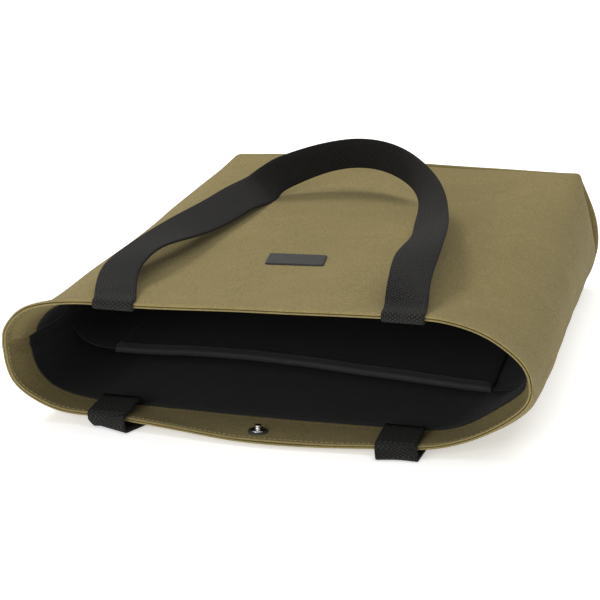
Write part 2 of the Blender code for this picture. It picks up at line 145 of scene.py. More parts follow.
# ---------------------------------------------------------------------- meshes
def make_object(name, verts, faces, uv=None, smooth_shade=True):
    """verts in design coordinates; uv is per vertex, in metres along the cloth."""
    verts = np.array(verts, float)
    verts[:, 1] -= YC
    mesh = bpy.data.meshes.new(name)
    mesh.from_pydata([tuple(v) for v in verts], [], faces)
    work = bmesh.new()
    work.from_mesh(mesh)
    bmesh.ops.recalc_face_normals(work, faces=work.faces)
    if work.calc_volume(signed=True) < 0:
        bmesh.ops.reverse_faces(work, faces=work.faces)
    work.to_mesh(mesh)
    work.free()
    if uv is not None:
        layer = mesh.uv_layers.new(name="cloth")
        index = np.zeros(len(mesh.loops), np.int32)
        mesh.loops.foreach_get("vertex_index", index)
        layer.data.foreach_set("uv", np.asarray(uv, np.float32)[index].ravel())
    if smooth_shade:
        mesh.polygons.foreach_set("use_smooth", [True] * len(mesh.polygons))
    ob = bpy.data.objects.new(name, mesh)
    bpy.context.scene.collection.objects.link(ob)
    return ob


def thick_sheet(name, P, N, t, wrap=False, close_end=False, arcs=3, uv=None, uv_origin=(0.0, 0.0)):
    """A closed cloth: P (nu, nv, 3) is its outer face, N outward, t its thickness.

    Its edges are rounded. wrap joins the first axis; close_end fills the far end.
    """
    nu, nv = P.shape[:2]
    t = np.broadcast_to(np.asarray(t, float), (nu, nv))
    Q = P - N * t[..., None]
    verts = [P.reshape(-1, 3), Q.reshape(-1, 3)]
    count = nu * nv
    if uv is None:
        U = np.zeros((nu, nv))
        V = np.zeros((nu, nv))
        U[1:] = np.cumsum(np.linalg.norm(np.diff(P, axis=0), axis=2).mean(1))[:, None]
        V[:, 1:] = np.cumsum(np.linalg.norm(np.diff(P, axis=1), axis=2), axis=1)
        uv = np.stack([U + uv_origin[0], V + uv_origin[1]], 2)
    uvs = [uv.reshape(-1, 2), uv.reshape(-1, 2)]
    faces = []
    iu = nu if wrap else nu - 1
    for i in range(iu):
        i2 = (i + 1) % nu
        for j in range(nv - 1):
            a, b, c, d = i * nv + j, i2 * nv + j, i2 * nv + j + 1, i * nv + j + 1
            faces.append((a, b, c, d))
            faces.append((count + a, count + d, count + c, count + b))
    if wrap:
        loops = [[(i, 0) for i in range(nu)]]
        if not close_end:
            loops.append([(i, nv - 1) for i in range(nu)])
    else:
        loops = [[(i, 0) for i in range(nu)] + [(nu - 1, j) for j in range(1, nv)]
                 + [(i, nv - 1) for i in range(nu - 2, -1, -1)] + [(0, j) for j in range(nv - 2, 0, -1)]]
    base = 2 * count
    for loop in loops:
        n = len(loop)
        outer = [i * nv + j for i, j in loop]
        prev = outer
        direction = np.zeros((n, 3))
        for k, (i, j) in enumerate(loop):
            d = np.zeros(3)
            if j == 0:
                d += unit(P[i, 0] - P[i, 1])
            if j == nv - 1:
                d += unit(P[i, -1] - P[i, -2])
            if not wrap and i == 0:
                d += unit(P[0, j] - P[1, j])
            if not wrap and i == nu - 1:
                d += unit(P[-1, j] - P[-2, j])
            direction[k] = unit(d)
        pa = np.array([P[i, j] for i, j in loop])
        qa = np.array([Q[i, j] for i, j in loop])
        ua = np.array([uv[i, j] for i, j in loop])
        mid, half = (pa + qa) / 2, (pa - qa) / 2
        radius = np.linalg.norm(half, axis=1, keepdims=True)
        for a in range(1, arcs + 1):
            ang = math.pi * a / (arcs + 1)
            verts.append(mid + half * math.cos(ang) + direction * radius * math.sin(ang))
            uvs.append(ua)
            ring = list(range(base, base + n))
            base += n
            for k in range(n):
                k2 = (k + 1) % n
                faces.append((prev[k], prev[k2], ring[k2], ring[k]))
            prev = ring
        inner = [count + v for v in outer]
        for k in range(n):
            k2 = (k + 1) % n
            faces.append((prev[k], prev[k2], inner[k2], inner[k]))
    if close_end:
        for off, grid in ((0, P), (count, Q)):
            verts.append(grid[:, -1].mean(0)[None])
            uvs.append(uv[:, -1].mean(0)[None])
            for i in range(nu):
                i2 = (i + 1) % nu
                tri = (off + i * nv + nv - 1, off + i2 * nv + nv - 1, base)
                faces.append(tri if off == 0 else tri[::-1])
            base += 1
    return make_object(name, np.concatenate(verts), faces, np.concatenate(uvs))


def strip(name, C, W, width, thick, cells=8, cup=0.0, uv_shift=0.0):
    """Webbing: C its middle line, W its unit width direction at each point."""
    C = np.asarray(C, float)
    T = unit(np.gradient(C, axis=0))
    N = unit(np.cross(T, W))
    W = unit(np.cross(N, T))
    hw, ht = width / 2, thick / 2
    prof = [(w, ht) for w in np.linspace(-(hw - ht), hw - ht, cells + 1)]
    prof += [(hw - ht + ht * math.sin(a), ht * math.cos(a)) for a in np.radians([36, 72, 108, 144])]
    prof += [(w, -ht) for w in np.linspace(hw - ht, -(hw - ht), cells + 1)]
    prof += [(-(hw - ht) - ht * math.sin(a), -ht * math.cos(a)) for a in np.radians([36, 72, 108, 144])]
    prof = np.array(prof)
    m, n = len(prof), len(C)
    s = np.concatenate([[0], np.cumsum(np.linalg.norm(np.diff(C, axis=0), axis=1))])
    verts, uv = [], []
    for k in range(n):
        bow = -cup * (prof[:, 0] / hw) ** 2
        verts.append(C[k] + prof[:, :1] * W[k] + (prof[:, 1] + bow)[:, None] * N[k])
        uv.append(np.stack([prof[:, 0], np.full(m, s[k] + uv_shift)], 1))
    faces = []
    for k in range(n - 1):
        for i in range(m):
            j = (i + 1) % m
            faces.append((k * m + i, k * m + j, (k + 1) * m + j, (k + 1) * m + i))
    # the ends: strips between the two faces
    for k, flip in ((0, False), (n - 1, True)):
        faces_end = tuple(range(k * m, k * m + m))
        faces.append(faces_end[::-1] if not flip else faces_end)
    return make_object(name, np.concatenate(verts), faces, np.concatenate(uv)), C, W, N


def lathe(name, x, y, profile, segments=48):
    """A turned piece: profile is (radius, height), from the axis round to the axis."""
    verts, faces, rings = [], [], []
    for r, z in profile:
        if r < 1e-6:
            rings.append([len(verts)])
            verts.append((x, y, z))
        else:
            rings.append(list(range(len(verts), len(verts) + segments)))
            verts += [(x + r * math.cos(2 * math.pi * k / segments),
                       y + r * math.sin(2 * math.pi * k / segments), z) for k in range(segments)]
    pairs = list(zip(rings[:-1], rings[1:]))
    if profile[0][0] > 1e-6:
        pairs.append((rings[-1], rings[0]))
    for a, b in pairs:
        for k in range(segments):
            k2 = (k + 1) % segments
            if len(a) == 1:
                faces.append((a[0], b[k], b[k2]))
            elif len(b) == 1:
                faces.append((a[k], a[k2], b[0]))
            else:
                faces.append((a[k], a[k2], b[k2], b[k]))
    return make_object(name, verts, faces, [(v[0], v[1]) for v in verts])


def stitches(name, runs, length=0.0024, radius=0.00028, pitch=0.0034, sink=0.10):
    """Sewn thread: each run is (points, normals); a short bowed stitch every pitch."""
    verts, faces, uv = [], [], []
    sides, rows = 6, 7
    for points, normals in runs:
        points, normals = np.asarray(points, float), np.asarray(normals, float)
        s = np.concatenate([[0], np.cumsum(np.linalg.norm(np.diff(points, axis=0), axis=1))])
        k = max(1, int((s[-1] - length) / pitch))
        for q in range(k + 1):
            s0 = q * pitch + (s[-1] - k * pitch - length) / 2
            at = s0 + length * np.linspace(0, 1, rows)
            c = np.stack([np.interp(at, s, points[:, a]) for a in range(3)], 1)
            nn = unit(np.stack([np.interp(at, s, normals[:, a]) for a in range(3)], 1))
            bow = np.sin(np.linspace(0, math.pi, rows))
            c = c + nn * (radius * (0.75 * bow - 0.35))[:, None]
            tt = unit(np.gradient(c, axis=0))
            side = unit(np.cross(tt, nn))
            size = radius * (0.55 + 0.45 * np.sqrt(np.clip(bow, 0, 1)))
            base = len(verts)
            for r in range(rows):
                for a in range(sides):
                    ang = 2 * math.pi * a / sides
                    verts.append(c[r] + size[r] * (math.cos(ang) * nn[r] + math.sin(ang) * side[r]))
                    uv.append((at[r], a / sides * 0.001))
            for r in range(rows - 1):
                for a in range(sides):
                    b = (a + 1) % sides
                    faces.append((base + r * sides + a, base + r * sides + b,
                                  base + (r + 1) * sides + b, base + (r + 1) * sides + a))
            faces.append(tuple(base + a for a in range(sides))[::-1])
            faces.append(tuple(base + (rows - 1) * sides + a for a in range(sides)))
    return make_object(name, verts, faces, uv)


# ------------------------------------------------------------------- materials
def new_material(name, base, rough, metal=0.0, sheen=0.0, sheen_rough=0.5, sheen_tint=(1, 1, 1), specular=0.5):
    mat = bpy.data.materials.new(name)
    mat.use_nodes = True
    tree = mat.node_tree
    shader = tree.nodes["Principled BSDF"]
    shader.inputs["Base Color"].default_value = (*base, 1)
    shader.inputs["Roughness"].default_value = rough
    shader.inputs["Metallic"].default_value = metal
    shader.inputs["Sheen Weight"].default_value = sheen
    shader.inputs["Sheen Roughness"].default_value = sheen_rough
    shader.inputs["Sheen Tint"].default_value = (*sheen_tint, 1)
    shader.inputs["Specular IOR Level"].default_value = specular
    return mat, tree, shader


def node(tree, kind, **props):
    n = tree.nodes.new(kind)
    for k, v in props.items():
        if k in n.inputs:
            n.inputs[k].default_value = v
        else:
            setattr(n, k, v)
    return n


def maths(tree, op, a, b=None, c=None):
    n = tree.nodes.new("ShaderNodeMath")
    n.operation = op
    for k, v in enumerate((a, b, c)):
        if v is None:
            continue
        if isinstance(v, (int, float)):
            n.inputs[k].default_value = v
        else:
            tree.links.new(v, n.inputs[k])
    return n.outputs[0]


def mix_colour(tree, fac, a, b):
    n = tree.nodes.new("ShaderNodeMix")
    n.data_type = "RGBA"
    for sock, v in ((n.inputs[0], fac), (n.inputs[6], a), (n.inputs[7], b)):
        if isinstance(v, (int, float)):
            sock.default_value = v
        elif isinstance(v, (tuple, list)):
            sock.default_value = (*v, 1)
        else:
            tree.links.new(v, sock)
    return n.outputs[2]


def cloth_uv(tree):
    uv = tree.nodes.new("ShaderNodeUVMap")
    uv.uv_map = "cloth"
    sep = tree.nodes.new("ShaderNodeSeparateXYZ")
    tree.links.new(uv.outputs[0], sep.inputs[0])
    return uv.outputs[0], sep.outputs[0], sep.outputs[1]


def noise_of(tree, coord, scale, detail=3.0, rough=0.55):
    n = node(tree, "ShaderNodeTexNoise", Scale=scale, Detail=detail, Roughness=rough)
    tree.links.new(coord, n.inputs["Vector"])
    return n.outputs["Fac"]


def ramp(tree, fac, lo, hi, a=0.0, b=1.0):
    n = tree.nodes.new("ShaderNodeMapRange")
    tree.links.new(fac, n.inputs[0])
    for k, v in zip((1, 2, 3, 4), (lo, hi, a, b)):
        n.inputs[k].default_value = v
    return n.outputs[0]


def woven(name, base, pitch, rough, vary=0.10, sheen=0.3, sheen_tint=(1, 1, 1), bump=0.35, deep=0.00012,
          rim=False, twill=False, fuzz=0.10, specular=0.3):
    """Woven cloth: threads each way, heathered yarn, cloudy dye, hems rubbed paler."""
    mat, tree, shader = new_material(name, base, rough, sheen=sheen, sheen_tint=sheen_tint, specular=specular)
    uv, u, v = cloth_uv(tree)
    tc = tree.nodes.new("ShaderNodeTexCoord")
    k = 2 * math.pi / pitch
    wu = maths(tree, "SINE", maths(tree, "MULTIPLY", u, k))
    if twill:
        wv = maths(tree, "SINE", maths(tree, "MULTIPLY", maths(tree, "ADD", u, v), k * 0.7))
    else:
        wv = maths(tree, "SINE", maths(tree, "MULTIPLY", v, k))
    weave = maths(tree, "MULTIPLY", wu, wv) if not twill else wv
    weave = maths(tree, "MULTIPLY_ADD", weave, 0.5, 0.5)
    cloud = noise_of(tree, tc.outputs["Object"], 14.0, 4.0, 0.6)
    patch = noise_of(tree, tc.outputs["Object"], 90.0, 4.0, 0.6)
    yarn = noise_of(tree, tc.outputs["Object"], 760.0, 3.0, 0.75)
    dark = tuple(c * (1 - vary) for c in base)
    light = tuple(min(1.0, c * (1 + vary)) for c in base)
    col = mix_colour(tree, ramp(tree, cloud, 0.30, 0.70), dark, light)
    col = mix_colour(tree, ramp(tree, patch, 0.35, 0.65, 0.0, 0.35), col, tuple(c * (1 - 1.3 * vary) for c in base))
    col = mix_colour(tree, ramp(tree, yarn, 0.52, 0.64, 0.0, fuzz * 1.9), col, tuple(c * 1.65 for c in base))
    col = mix_colour(tree, ramp(tree, yarn, 0.36, 0.50, fuzz * 1.8, 0.0), col, tuple(c * 0.50 for c in base))
    col = mix_colour(tree, ramp(tree, weave, 0.0, 1.0, fuzz * 1.6, 0.0), col, tuple(c * 0.55 for c in base))
    if rim:
        near = ramp(tree, v, 0.0, 0.0035, 0.30, 0.0)
        worn = maths(tree, "MULTIPLY", near, ramp(tree, patch, 0.35, 0.6, 0.4, 1.0))
        col = mix_colour(tree, worn, col, tuple(min(1, c * 1.45) for c in base))
    tree.links.new(col, shader.inputs["Base Color"])
    tree.links.new(ramp(tree, patch, 0.3, 0.7, max(0.05, rough - 0.07), min(1.0, rough + 0.05)), shader.inputs["Roughness"])
    height = maths(tree, "ADD", maths(tree, "MULTIPLY", weave, 0.7), maths(tree, "MULTIPLY", yarn, 0.6))
    b = node(tree, "ShaderNodeBump", Strength=bump, Distance=deep)
    tree.links.new(height, b.inputs["Height"])
    tree.links.new(b.outputs[0], shader.inputs["Normal"])
    return mat


def webbing_material(name, base, pitch=0.0019, column=0.0021):
    """Ribbed webbing: cords across, staggered from one column to the next; the crests carry a painted highlight and the
    troughs a painted shade.
    """
    mat, tree, shader = new_material(name, base, 0.78, sheen=0.02, specular=0.16)
    uv, u, v = cloth_uv(tree)
    tc = tree.nodes.new("ShaderNodeTexCoord")
    cell = maths(tree, "FLOOR", maths(tree, "DIVIDE", u, column))
    phase = maths(tree, "MULTIPLY_ADD", v, 2 * math.pi / pitch, maths(tree, "MULTIPLY", cell, math.pi))
    along = maths(tree, "MULTIPLY_ADD", maths(tree, "SINE", phase), 0.5, 0.5)
    across = maths(tree, "ABSOLUTE", maths(tree, "SINE", maths(tree, "MULTIPLY", u, math.pi / column)))
    rib = maths(tree, "MULTIPLY", along, maths(tree, "POWER", across, 0.6))
    edge = ramp(tree, maths(tree, "ABSOLUTE", u), 0.0124, 0.0130, 1.0, 0.25)
    rib = maths(tree, "MULTIPLY", rib, edge)
    yarn = noise_of(tree, tc.outputs["Object"], 1500.0, 2.0, 0.7)
    cloud = noise_of(tree, tc.outputs["Object"], 22.0, 3.0, 0.6)
    # painted highlight and painted shade of the ribs: cord crests are painted up to 2.2 times the base colour and
    # troughs down to 0.2 times, standing in for light on the relief
    col = mix_colour(tree, rib, tuple(c * 0.20 for c in base), tuple(c * 2.2 for c in base))
    col = mix_colour(tree, ramp(tree, yarn, 0.4, 0.7, 0.0, 0.5), col, tuple(c * 2.1 for c in base))
    col = mix_colour(tree, ramp(tree, cloud, 0.35, 0.65, 0.0, 0.35), col, tuple(c * 0.7 for c in base))
    tree.links.new(col, shader.inputs["Base Color"])
    tree.links.new(ramp(tree, rib, 0.0, 1.0, 0.90, 0.66), shader.inputs["Roughness"])
    height = maths(tree, "ADD", rib, maths(tree, "MULTIPLY", yarn, 0.25))
    b = node(tree, "ShaderNodeBump", Strength=1.0, Distance=0.00080)
    tree.links.new(height, b.inputs["Height"])
    tree.links.new(b.outputs[0], shader.inputs["Normal"])
    return mat


def grained(name, base, rough, metal=0.0, scale=700.0, bump=0.2, deep=0.0001, vary=0.12, specular=0.5, stretch=None):
    """Metal, painted plate or thread: fine grain, uneven sheen, small marks."""
    mat, tree, shader = new_material(name, base, rough, metal, specular=specular)
    tc = tree.nodes.new("ShaderNodeTexCoord")
    coord = tc.outputs["Object"]
    if stretch:
        m = tree.nodes.new("ShaderNodeMapping")
        m.inputs["Scale"].default_value = stretch
        tree.links.new(coord, m.inputs[0])
        coord = m.outputs[0]
    fine = noise_of(tree, coord, scale, 3.0, 0.6)
    broad = noise_of(tree, tc.outputs["Object"], scale / 9, 3.0, 0.6)
    col = mix_colour(tree, ramp(tree, broad, 0.3, 0.7), tuple(c * (1 - vary) for c in base),
                     tuple(min(1, c * (1 + vary)) for c in base))
    col = mix_colour(tree, ramp(tree, fine, 0.5, 0.75, 0.0, 0.35), col, tuple(min(1, c * 1.3) for c in base))
    tree.links.new(col, shader.inputs["Base Color"])
    tree.links.new(ramp(tree, fine, 0.3, 0.7, max(0.05, rough - 0.08), min(1, rough + 0.10)), shader.inputs["Roughness"])
    b = node(tree, "ShaderNodeBump", Strength=bump, Distance=deep)
    tree.links.new(fine, b.inputs["Height"])
    tree.links.new(b.outputs[0], shader.inputs["Normal"])
    return mat


KHAKI = (0.222, 0.176, 0.070)
M_CANVAS = woven("canvas_khaki", KHAKI, 0.00062, 0.90, vary=0.085, sheen=0.08, sheen_tint=(0.92, 0.86, 0.66), rim=True, fuzz=0.25, bump=0.6,
                 deep=0.00026, specular=0.15)
M_INNER = woven("canvas_facing", (0.215, 0.172, 0.072), 0.00062, 0.92, vary=0.09, sheen=0.05,
                sheen_tint=(0.92, 0.86, 0.66), rim=True, fuzz=0.25, bump=0.6, deep=0.00026, specular=0.15)
M_LINING = woven("lining_black", (0.0125, 0.0123, 0.0126), 0.00045, 0.58, vary=0.12, sheen=0.05, bump=0.3,
                 deep=0.00006, twill=True, fuzz=0.08, specular=0.30)
M_POCKET = woven("pocket_black", (0.0090, 0.0089, 0.0093), 0.00050, 0.75, vary=0.12, sheen=0.04, bump=0.3,
                 deep=0.00008, fuzz=0.08, specular=0.2)
M_BINDING = woven("binding_grey", (0.020, 0.020, 0.021), 0.0009, 0.75, vary=0.12, sheen=0.06, bump=0.5,
                  deep=0.00015, fuzz=0.12)
M_WEB = webbing_material("webbing_black", (0.0160, 0.0153, 0.0145), column=0.0017)
M_THREAD = grained("thread_khaki", (0.26, 0.215, 0.098), 0.75, scale=2600.0, bump=0.4, stretch=(1, 1, 1))
M_THREAD_DARK = grained("thread_dark", (0.020, 0.0195, 0.019), 0.70, scale=2600.0, bump=0.4)
M_PLATE = grained("plate_grey", (0.031, 0.0305, 0.030), 0.55, scale=1400.0, bump=0.25, deep=0.00006, specular=0.25)
M_METAL = grained("snap_nickel", (0.62, 0.61, 0.60), 0.24, 1.0, scale=500.0, bump=0.06, deep=0.00004, vary=0.06)
M_WASHER = grained("washer_dark", (0.030, 0.030, 0.031), 0.55, scale=900.0, bump=0.15, deep=0.00005)
M_FOAM = grained("foam_grey", (0.060, 0.060, 0.062), 0.95, scale=1600.0, bump=0.6, deep=0.0003)


def paint(ob, mat):
    ob.data.materials.clear()
    ob.data.materials.append(mat)


# ------------------------------------------------------------- the bag's shell
# Closed sections of the outer canvas in millimetres, from the left seam over the
# front panel to the right seam and back under it: (x, z) at seven stations.
MOUTH = [(-175.2, 56.5), (-174.0, 67.4), (-165.8, 79.0), (-150.5, 87.3), (-128.0, 91.2), (-97.0, 91.8), (-60.0, 92.6),
         (-20.0, 94.4), (20.0, 95.6), (60.0, 97.0), (95.0, 98.0), (120.0, 97.2), (142.0, 91.2), (159.5, 80.8),
         (171.0, 68.8), (174.6, 54.5), (171.0, 42.5), (158.5, 28.5), (140.5, 16.5), (116.0, 8.0), (87.0, 5.4),
         (50.0, 3.4), (15.0, 2.6), (-20.0, 3.0), (-55.0, 4.8), (-90.0, 6.4), (-118.0, 7.4), (-140.5, 9.2),
         (-160.0, 17.0), (-173.0, 32.5)]
RIM_Y = [0, 0, 0, 0, 0, 0, 0, 0, 0, 0, 0, 0, 0, 0, 0, 0, 3.5, 9.5, 11, 8.5, 6, 4, 1.5, 1.5, 5, 9.0, 11.0, 10.0, 9.5, 5.5]
Y30 = [(-172.0, 48.0), (-171.0, 60.0), (-161.5, 72.5), (-146.0, 82.5), (-127.0, 88.2), (-97.0, 91.0), (-60.0, 92.5),
       (-20.0, 94.3), (20.0, 94.8), (60.0, 95.6), (95.0, 96.0), (121.0, 94.4), (142.5, 87.2), (160.0, 76.0),
       (171.5, 62.0), (174.9, 48.4), (172.4, 35.5), (160.0, 21.5), (141.0, 10.5), (117.0, 4.6), (87.0, 2.8),
       (50.0, 1.4), (15.0, 0.9), (-20.0, 1.1), (-55.0, 1.8), (-90.0, 3.0), (-118.0, 4.2), (-142.0, 7.5),
       (-160.0, 16.0), (-170.0, 31.0)]
Y100 = [(-167.0, 46.0), (-166.0, 58.0), (-158.5, 71.0), (-143.5, 83.0), (-124.0, 90.0), (-95.0, 92.6), (-58.0, 93.8),
        (-18.0, 94.2), (22.0, 94.4), (62.0, 94.6), (98.0, 94.0), (124.0, 91.6), (147.0, 85.0), (164.5, 74.0),
        (174.0, 60.0), (176.2, 46.0), (173.4, 31.5), (162.0, 17.0), (143.0, 6.5), (118.0, 1.2), None, None, None,
        None, None, None, (-114.0, 1.2), (-138.0, 6.0), (-155.0, 16.0), (-164.8, 31.0)]
Y200 = [(-157.4, 37.0), (-157.5, 52.0), (-152.0, 68.0), (-139.5, 83.5), (-120.0, 91.6), (-90.0, 94.2), (-53.0, 94.8),
        (-13.0, 95.0), (27.0, 95.0), (67.0, 95.0), (104.0, 94.4), (132.0, 92.2), (153.5, 85.0), (168.0, 72.0),
        (175.5, 55.0), (175.6, 37.0), (171.9, 23.5), (161.0, 11.0), (144.0, 3.4), (120.0, 0.7), None, None, None,
        None, None, None, (-104.0, 0.7), (-127.0, 3.4), (-144.0, 11.5), (-153.8, 23.0)]
Y300 = [(-147.4, 31.0), (-149.0, 48.0), (-146.5, 66.0), (-137.0, 84.0), (-119.0, 92.4), (-87.0, 94.8), (-50.0, 95.3),
        (-10.0, 95.3), (30.0, 95.3), (70.0, 95.3), (110.0, 94.8), (140.0, 92.6), (160.0, 85.0), (171.5, 68.0),
        (176.0, 49.0), (174.8, 30.6), (170.9, 17.5), (161.0, 6.8), (145.0, 1.8), (122.0, 0.6), None, None, None,
        None, None, None, (-95.0, 0.6), (-117.0, 1.8), (-133.5, 6.8), (-143.0, 17.0)]
Y360 = [(-142.5, 31.0), (-143.5, 50.0), (-140.5, 69.0), (-132.0, 87.0), (-117.5, 93.6), (-86.0, 95.6), (-48.0, 95.8),
        (-8.0, 95.4), (32.0, 95.2), (72.0, 95.0), (112.0, 94.8), (145.0, 93.6), (163.0, 87.0), (171.5, 70.0),
        (175.5, 50.0), (175.1, 31.0), (171.4, 17.5), (163.0, 6.2), (147.0, 1.3), (124.0, 0.5), None, None, None,
        None, None, None, (-90.0, 0.5), (-112.0, 1.3), (-128.5, 6.2), (-138.5, 17.0)]
Y393 = [(-139.9, 31.0), (-137.0, 50.0), (-131.0, 72.0), (-127.0, 91.6), (-116.5, 95.4), (-84.0, 97.0), (-46.0, 96.4),
        (-6.0, 95.2), (34.0, 94.4), (74.0, 94.4), (114.0, 94.8), (153.0, 95.0), (161.2, 91.8), (165.5, 73.0),
        (171.0, 52.0), (175.4, 31.0), (173.0, 17.2), (166.0, 5.6), (151.0, 1.2), (128.0, 0.5), None, None, None,
        None, None, None, (-92.0, 0.5), (-115.0, 1.2), (-130.0, 5.6), (-136.8, 17.0)]
STATIONS = [0.0, 0.030, 0.100, 0.200, 0.300, 0.360, 0.393]


def filled(section):
    out = list(section)
    for k in range(20, 26):
        if out[k] is None:
            f = (k - 19) / 7
            out[k] = (out[19][0] * (1 - f) + out[26][0] * f, 0.5)
    return np.array(out) / 1000


KEYS = np.stack([filled(s) for s in (MOUTH, Y30, Y100, Y200, Y300, Y360, Y393)])
step = np.linalg.norm(np.diff(np.concatenate([KEYS, KEYS[:, :1]], 1), axis=1), axis=2).mean(0)
TK = np.concatenate([[0], np.cumsum(step)[:-1]])
TOTAL = float(step.sum())
S_RIGHT = TK[15]

# rear loop of webbing under the bag: it lifts the canvas that lies on it
REAR_ROUTE = [(-0.1064, 0.0030), (0.0116, 0.2680), (0.1113, 0.2780), (0.0873, 0.0030)]


def route_distance(x, y):
    best = 1.0
    for (x0, y0), (x1, y1) in zip(REAR_ROUTE[:-1], REAR_ROUTE[1:]):
        dx, dy = x1 - x0, y1 - y0
        t = min(1.0, max(0.0, ((x - x0) * dx + (y - y0) * dy) / (dx * dx + dy * dy)))
        best = min(best, math.hypot(x - x0 - t * dx, y - y0 - t * dy))
    return best


NF, NB = 132, 120
S_ALL = np.concatenate([np.linspace(0, S_RIGHT, NF + 1), np.linspace(S_RIGHT, TOTAL, NB + 1)[1:-1]])
ROWS = np.array([0, 0.0009, 0.0018, 0.0027, 0.0038, 0.0055, 0.008, 0.0115, 0.016, 0.021, 0.0265, 0.032, 0.0365, 0.0385,
                 0.0400, 0.0425, 0.046, 0.052, 0.060, *np.arange(0.069, 0.384, 0.0092), 0.3855, 0.3885, 0.3908, L])


def shell_grid():
    sections = np.stack([periodic(TK, k, TOTAL, S_ALL) for k in KEYS])      # (K, ns, 2)
    xz = pchip(STATIONS, sections, ROWS)                                    # (ny, ns, 2)
    rim = periodic(TK, np.array(RIM_Y, float)[:, None] / 1000, TOTAL, S_ALL)[:, 0]
    rim = np.clip(rim, 0, None)
    G = np.zeros((len(S_ALL), len(ROWS), 3))
    G[..., 0] = xz[..., 0].T
    G[..., 2] = xz[..., 1].T
    fade = np.clip(1 - ROWS / 0.09, 0, 1) ** 2
    G[..., 1] = ROWS[None, :] + rim[:, None] * fade[None, :]
    return G


def grid_normals(G, wrap=True):
    if wrap:
        du = np.roll(G, -1, 0) - np.roll(G, 1, 0)
    else:
        du = np.gradient(G, axis=0)
    dv = np.gradient(G, axis=1)
    n = unit(np.cross(dv, du))
    return n


G = shell_grid()
N0 = grid_normals(G)
if N0[NF // 2, len(ROWS) // 2, 2] < 0:
    N0 = -N0

# soft handling folds, stronger down the sides and towards the base corners
wave = np.zeros(G.shape[:2])
for i in range(G.shape[0]):
    for j in range(G.shape[1]):
        x, y, z = G[i, j]
        up = N0[i, j, 2]
        keep = smooth((y - 0.012) / 0.06) * smooth((0.40 - y) / 0.05)
        if up < -0.75:
            continue
        side = 1 - smooth((up - 0.55) / 0.4)
        p = Vector((x * 9.0, y * 7.0, z * 9.0 + 3.1))
        broad = noise.noise(p)
        fine = noise.noise(Vector((x * 24.0 + y * 9.0, y * 16.0 - x * 6.0, z * 22.0)))
        # a fold that runs in from each base corner, and a slack one beside the right grip
        corner = 0.0
        for cx, cy, hx, hy in ((0.150, 0.385, -0.62, -0.78), (-0.115, 0.385, 0.60, -0.80)):
            dx, dy = x - cx, y - cy
            run = dx * hx + dy * hy
            off = -dx * hy + dy * hx
            if run > 0:
                corner += math.exp(-(off / (0.010 + 0.10 * run)) ** 2) * math.exp(-run / 0.11) * smooth(run / 0.02)
        d1 = (x - 0.128) * 0.97 + (y - 0.14) * 0.22
        slack = math.exp(-(d1 / 0.011) ** 2) * math.exp(-((y - 0.13) / 0.09) ** 2) if up > 0.5 else 0.0
        quiet = 1 - math.exp(-((x + 0.003) / 0.05) ** 2 - ((y - 0.11) / 0.035) ** 2)
        pull = math.sin((y - 1.25 * z) * 2 * math.pi / 0.060 + 2.2 * broad) * side * smooth((x - 0.12) / 0.03)
        wave[i, j] = keep * quiet * (0.0015 * broad * (1 + 0.3 * side) + 0.00060 * fine * (0.7 + 0.5 * side)
                                     - 0.0016 * corner - 0.0014 * slack + 0.00022 * pull)
# the sewn channel behind the rim, and the bag's underside on the webbing
for j, y in enumerate(ROWS):
    channel = math.exp(-((y - 0.0024) / 0.0006) ** 2)
    wave[:, j] -= 0.00022 * channel
# the folded allowance stands up a little along each side seam
for i, amount in ((0, 0.0004), (NF, 0.0006)):
    wave[i] += amount * smooth((ROWS - 0.010) / 0.02) * smooth((0.392 - ROWS) / 0.010)
G = G + N0 * wave[..., None]
for i in range(NF, G.shape[0]):
    for j in range(G.shape[1]):
        x, y, z = G[i, j]
        if N0[i, j, 2] < -0.5 and y > 0.012:
            d = route_distance(x, y)
            ridge = 0.0028 * float(smooth((0.0145 + 0.0085 - d) / 0.0085))
            G[i, j, 2] = max(z, ridge) if z < 0.0035 else z + max(0.0, ridge - z) * 0.5
NRM = grid_normals(G)
if NRM[NF // 2, len(ROWS) // 2, 2] < 0:
    NRM = -NRM

U_ARC = np.concatenate([[0], np.cumsum(np.linalg.norm(np.diff(G[:, 22], axis=0), axis=1))])
UV = np.stack(np.broadcast_arrays(U_ARC[:, None], ROWS[None, :]), 2).astype(float)


def span(ob):
    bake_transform(ob)
    return ob


front = slice(0, NF + 1)
back_index = np.concatenate([np.arange(NF, len(S_ALL)), [0]])
front_canvas = thick_sheet("front_canvas", G[front], NRM[front], CANVAS, uv=UV[front])
paint(front_canvas, M_CANVAS)
uvb = UV[back_index].copy()
uvb[-1, :, 0] = uvb[-2, :, 0] + 0.004
back_canvas = thick_sheet("back_canvas", G[back_index], NRM[back_index], CANVAS, uv=uvb)
paint(back_canvas, M_CANVAS)


# base: rings from the base seam, standing a little proud between the corners
def base_rings(shift, rings, inset=0.0):
    S = G[:, -1] - NRM[:, -1] * inset
    flat = unit(NRM[:, -1] * np.array([1.0, 0.0, 1.0]))
    z = S[:, 2]
    proud = np.where(np.abs(flat[:, 0]) > 0.35, np.sin(np.pi * np.clip((z - 0.026) / 0.064, 0, 1)) ** 1.2, 0.0)
    proud += 0.35 * np.clip(np.abs(flat[:, 2]) - 0.8, 0, 0.2) / 0.2 * np.exp(-((S[:, 0] - 0.018) / 0.09) ** 2) * (flat[:, 2] > 0)
    middle = np.stack([np.clip(S[:, 0], -0.066, 0.102), np.zeros(len(S)), np.full(len(S), 0.046)], 1)
    out = []
    for push, scale, y in rings:
        q = S + flat * (push * proud)[:, None] * 0.0052
        q = middle + (q - middle) * scale
        q[:, 1] = y + shift
        out.append(q)
    R = np.stack(out, 1)
    n = grid_normals(R)
    return R, n


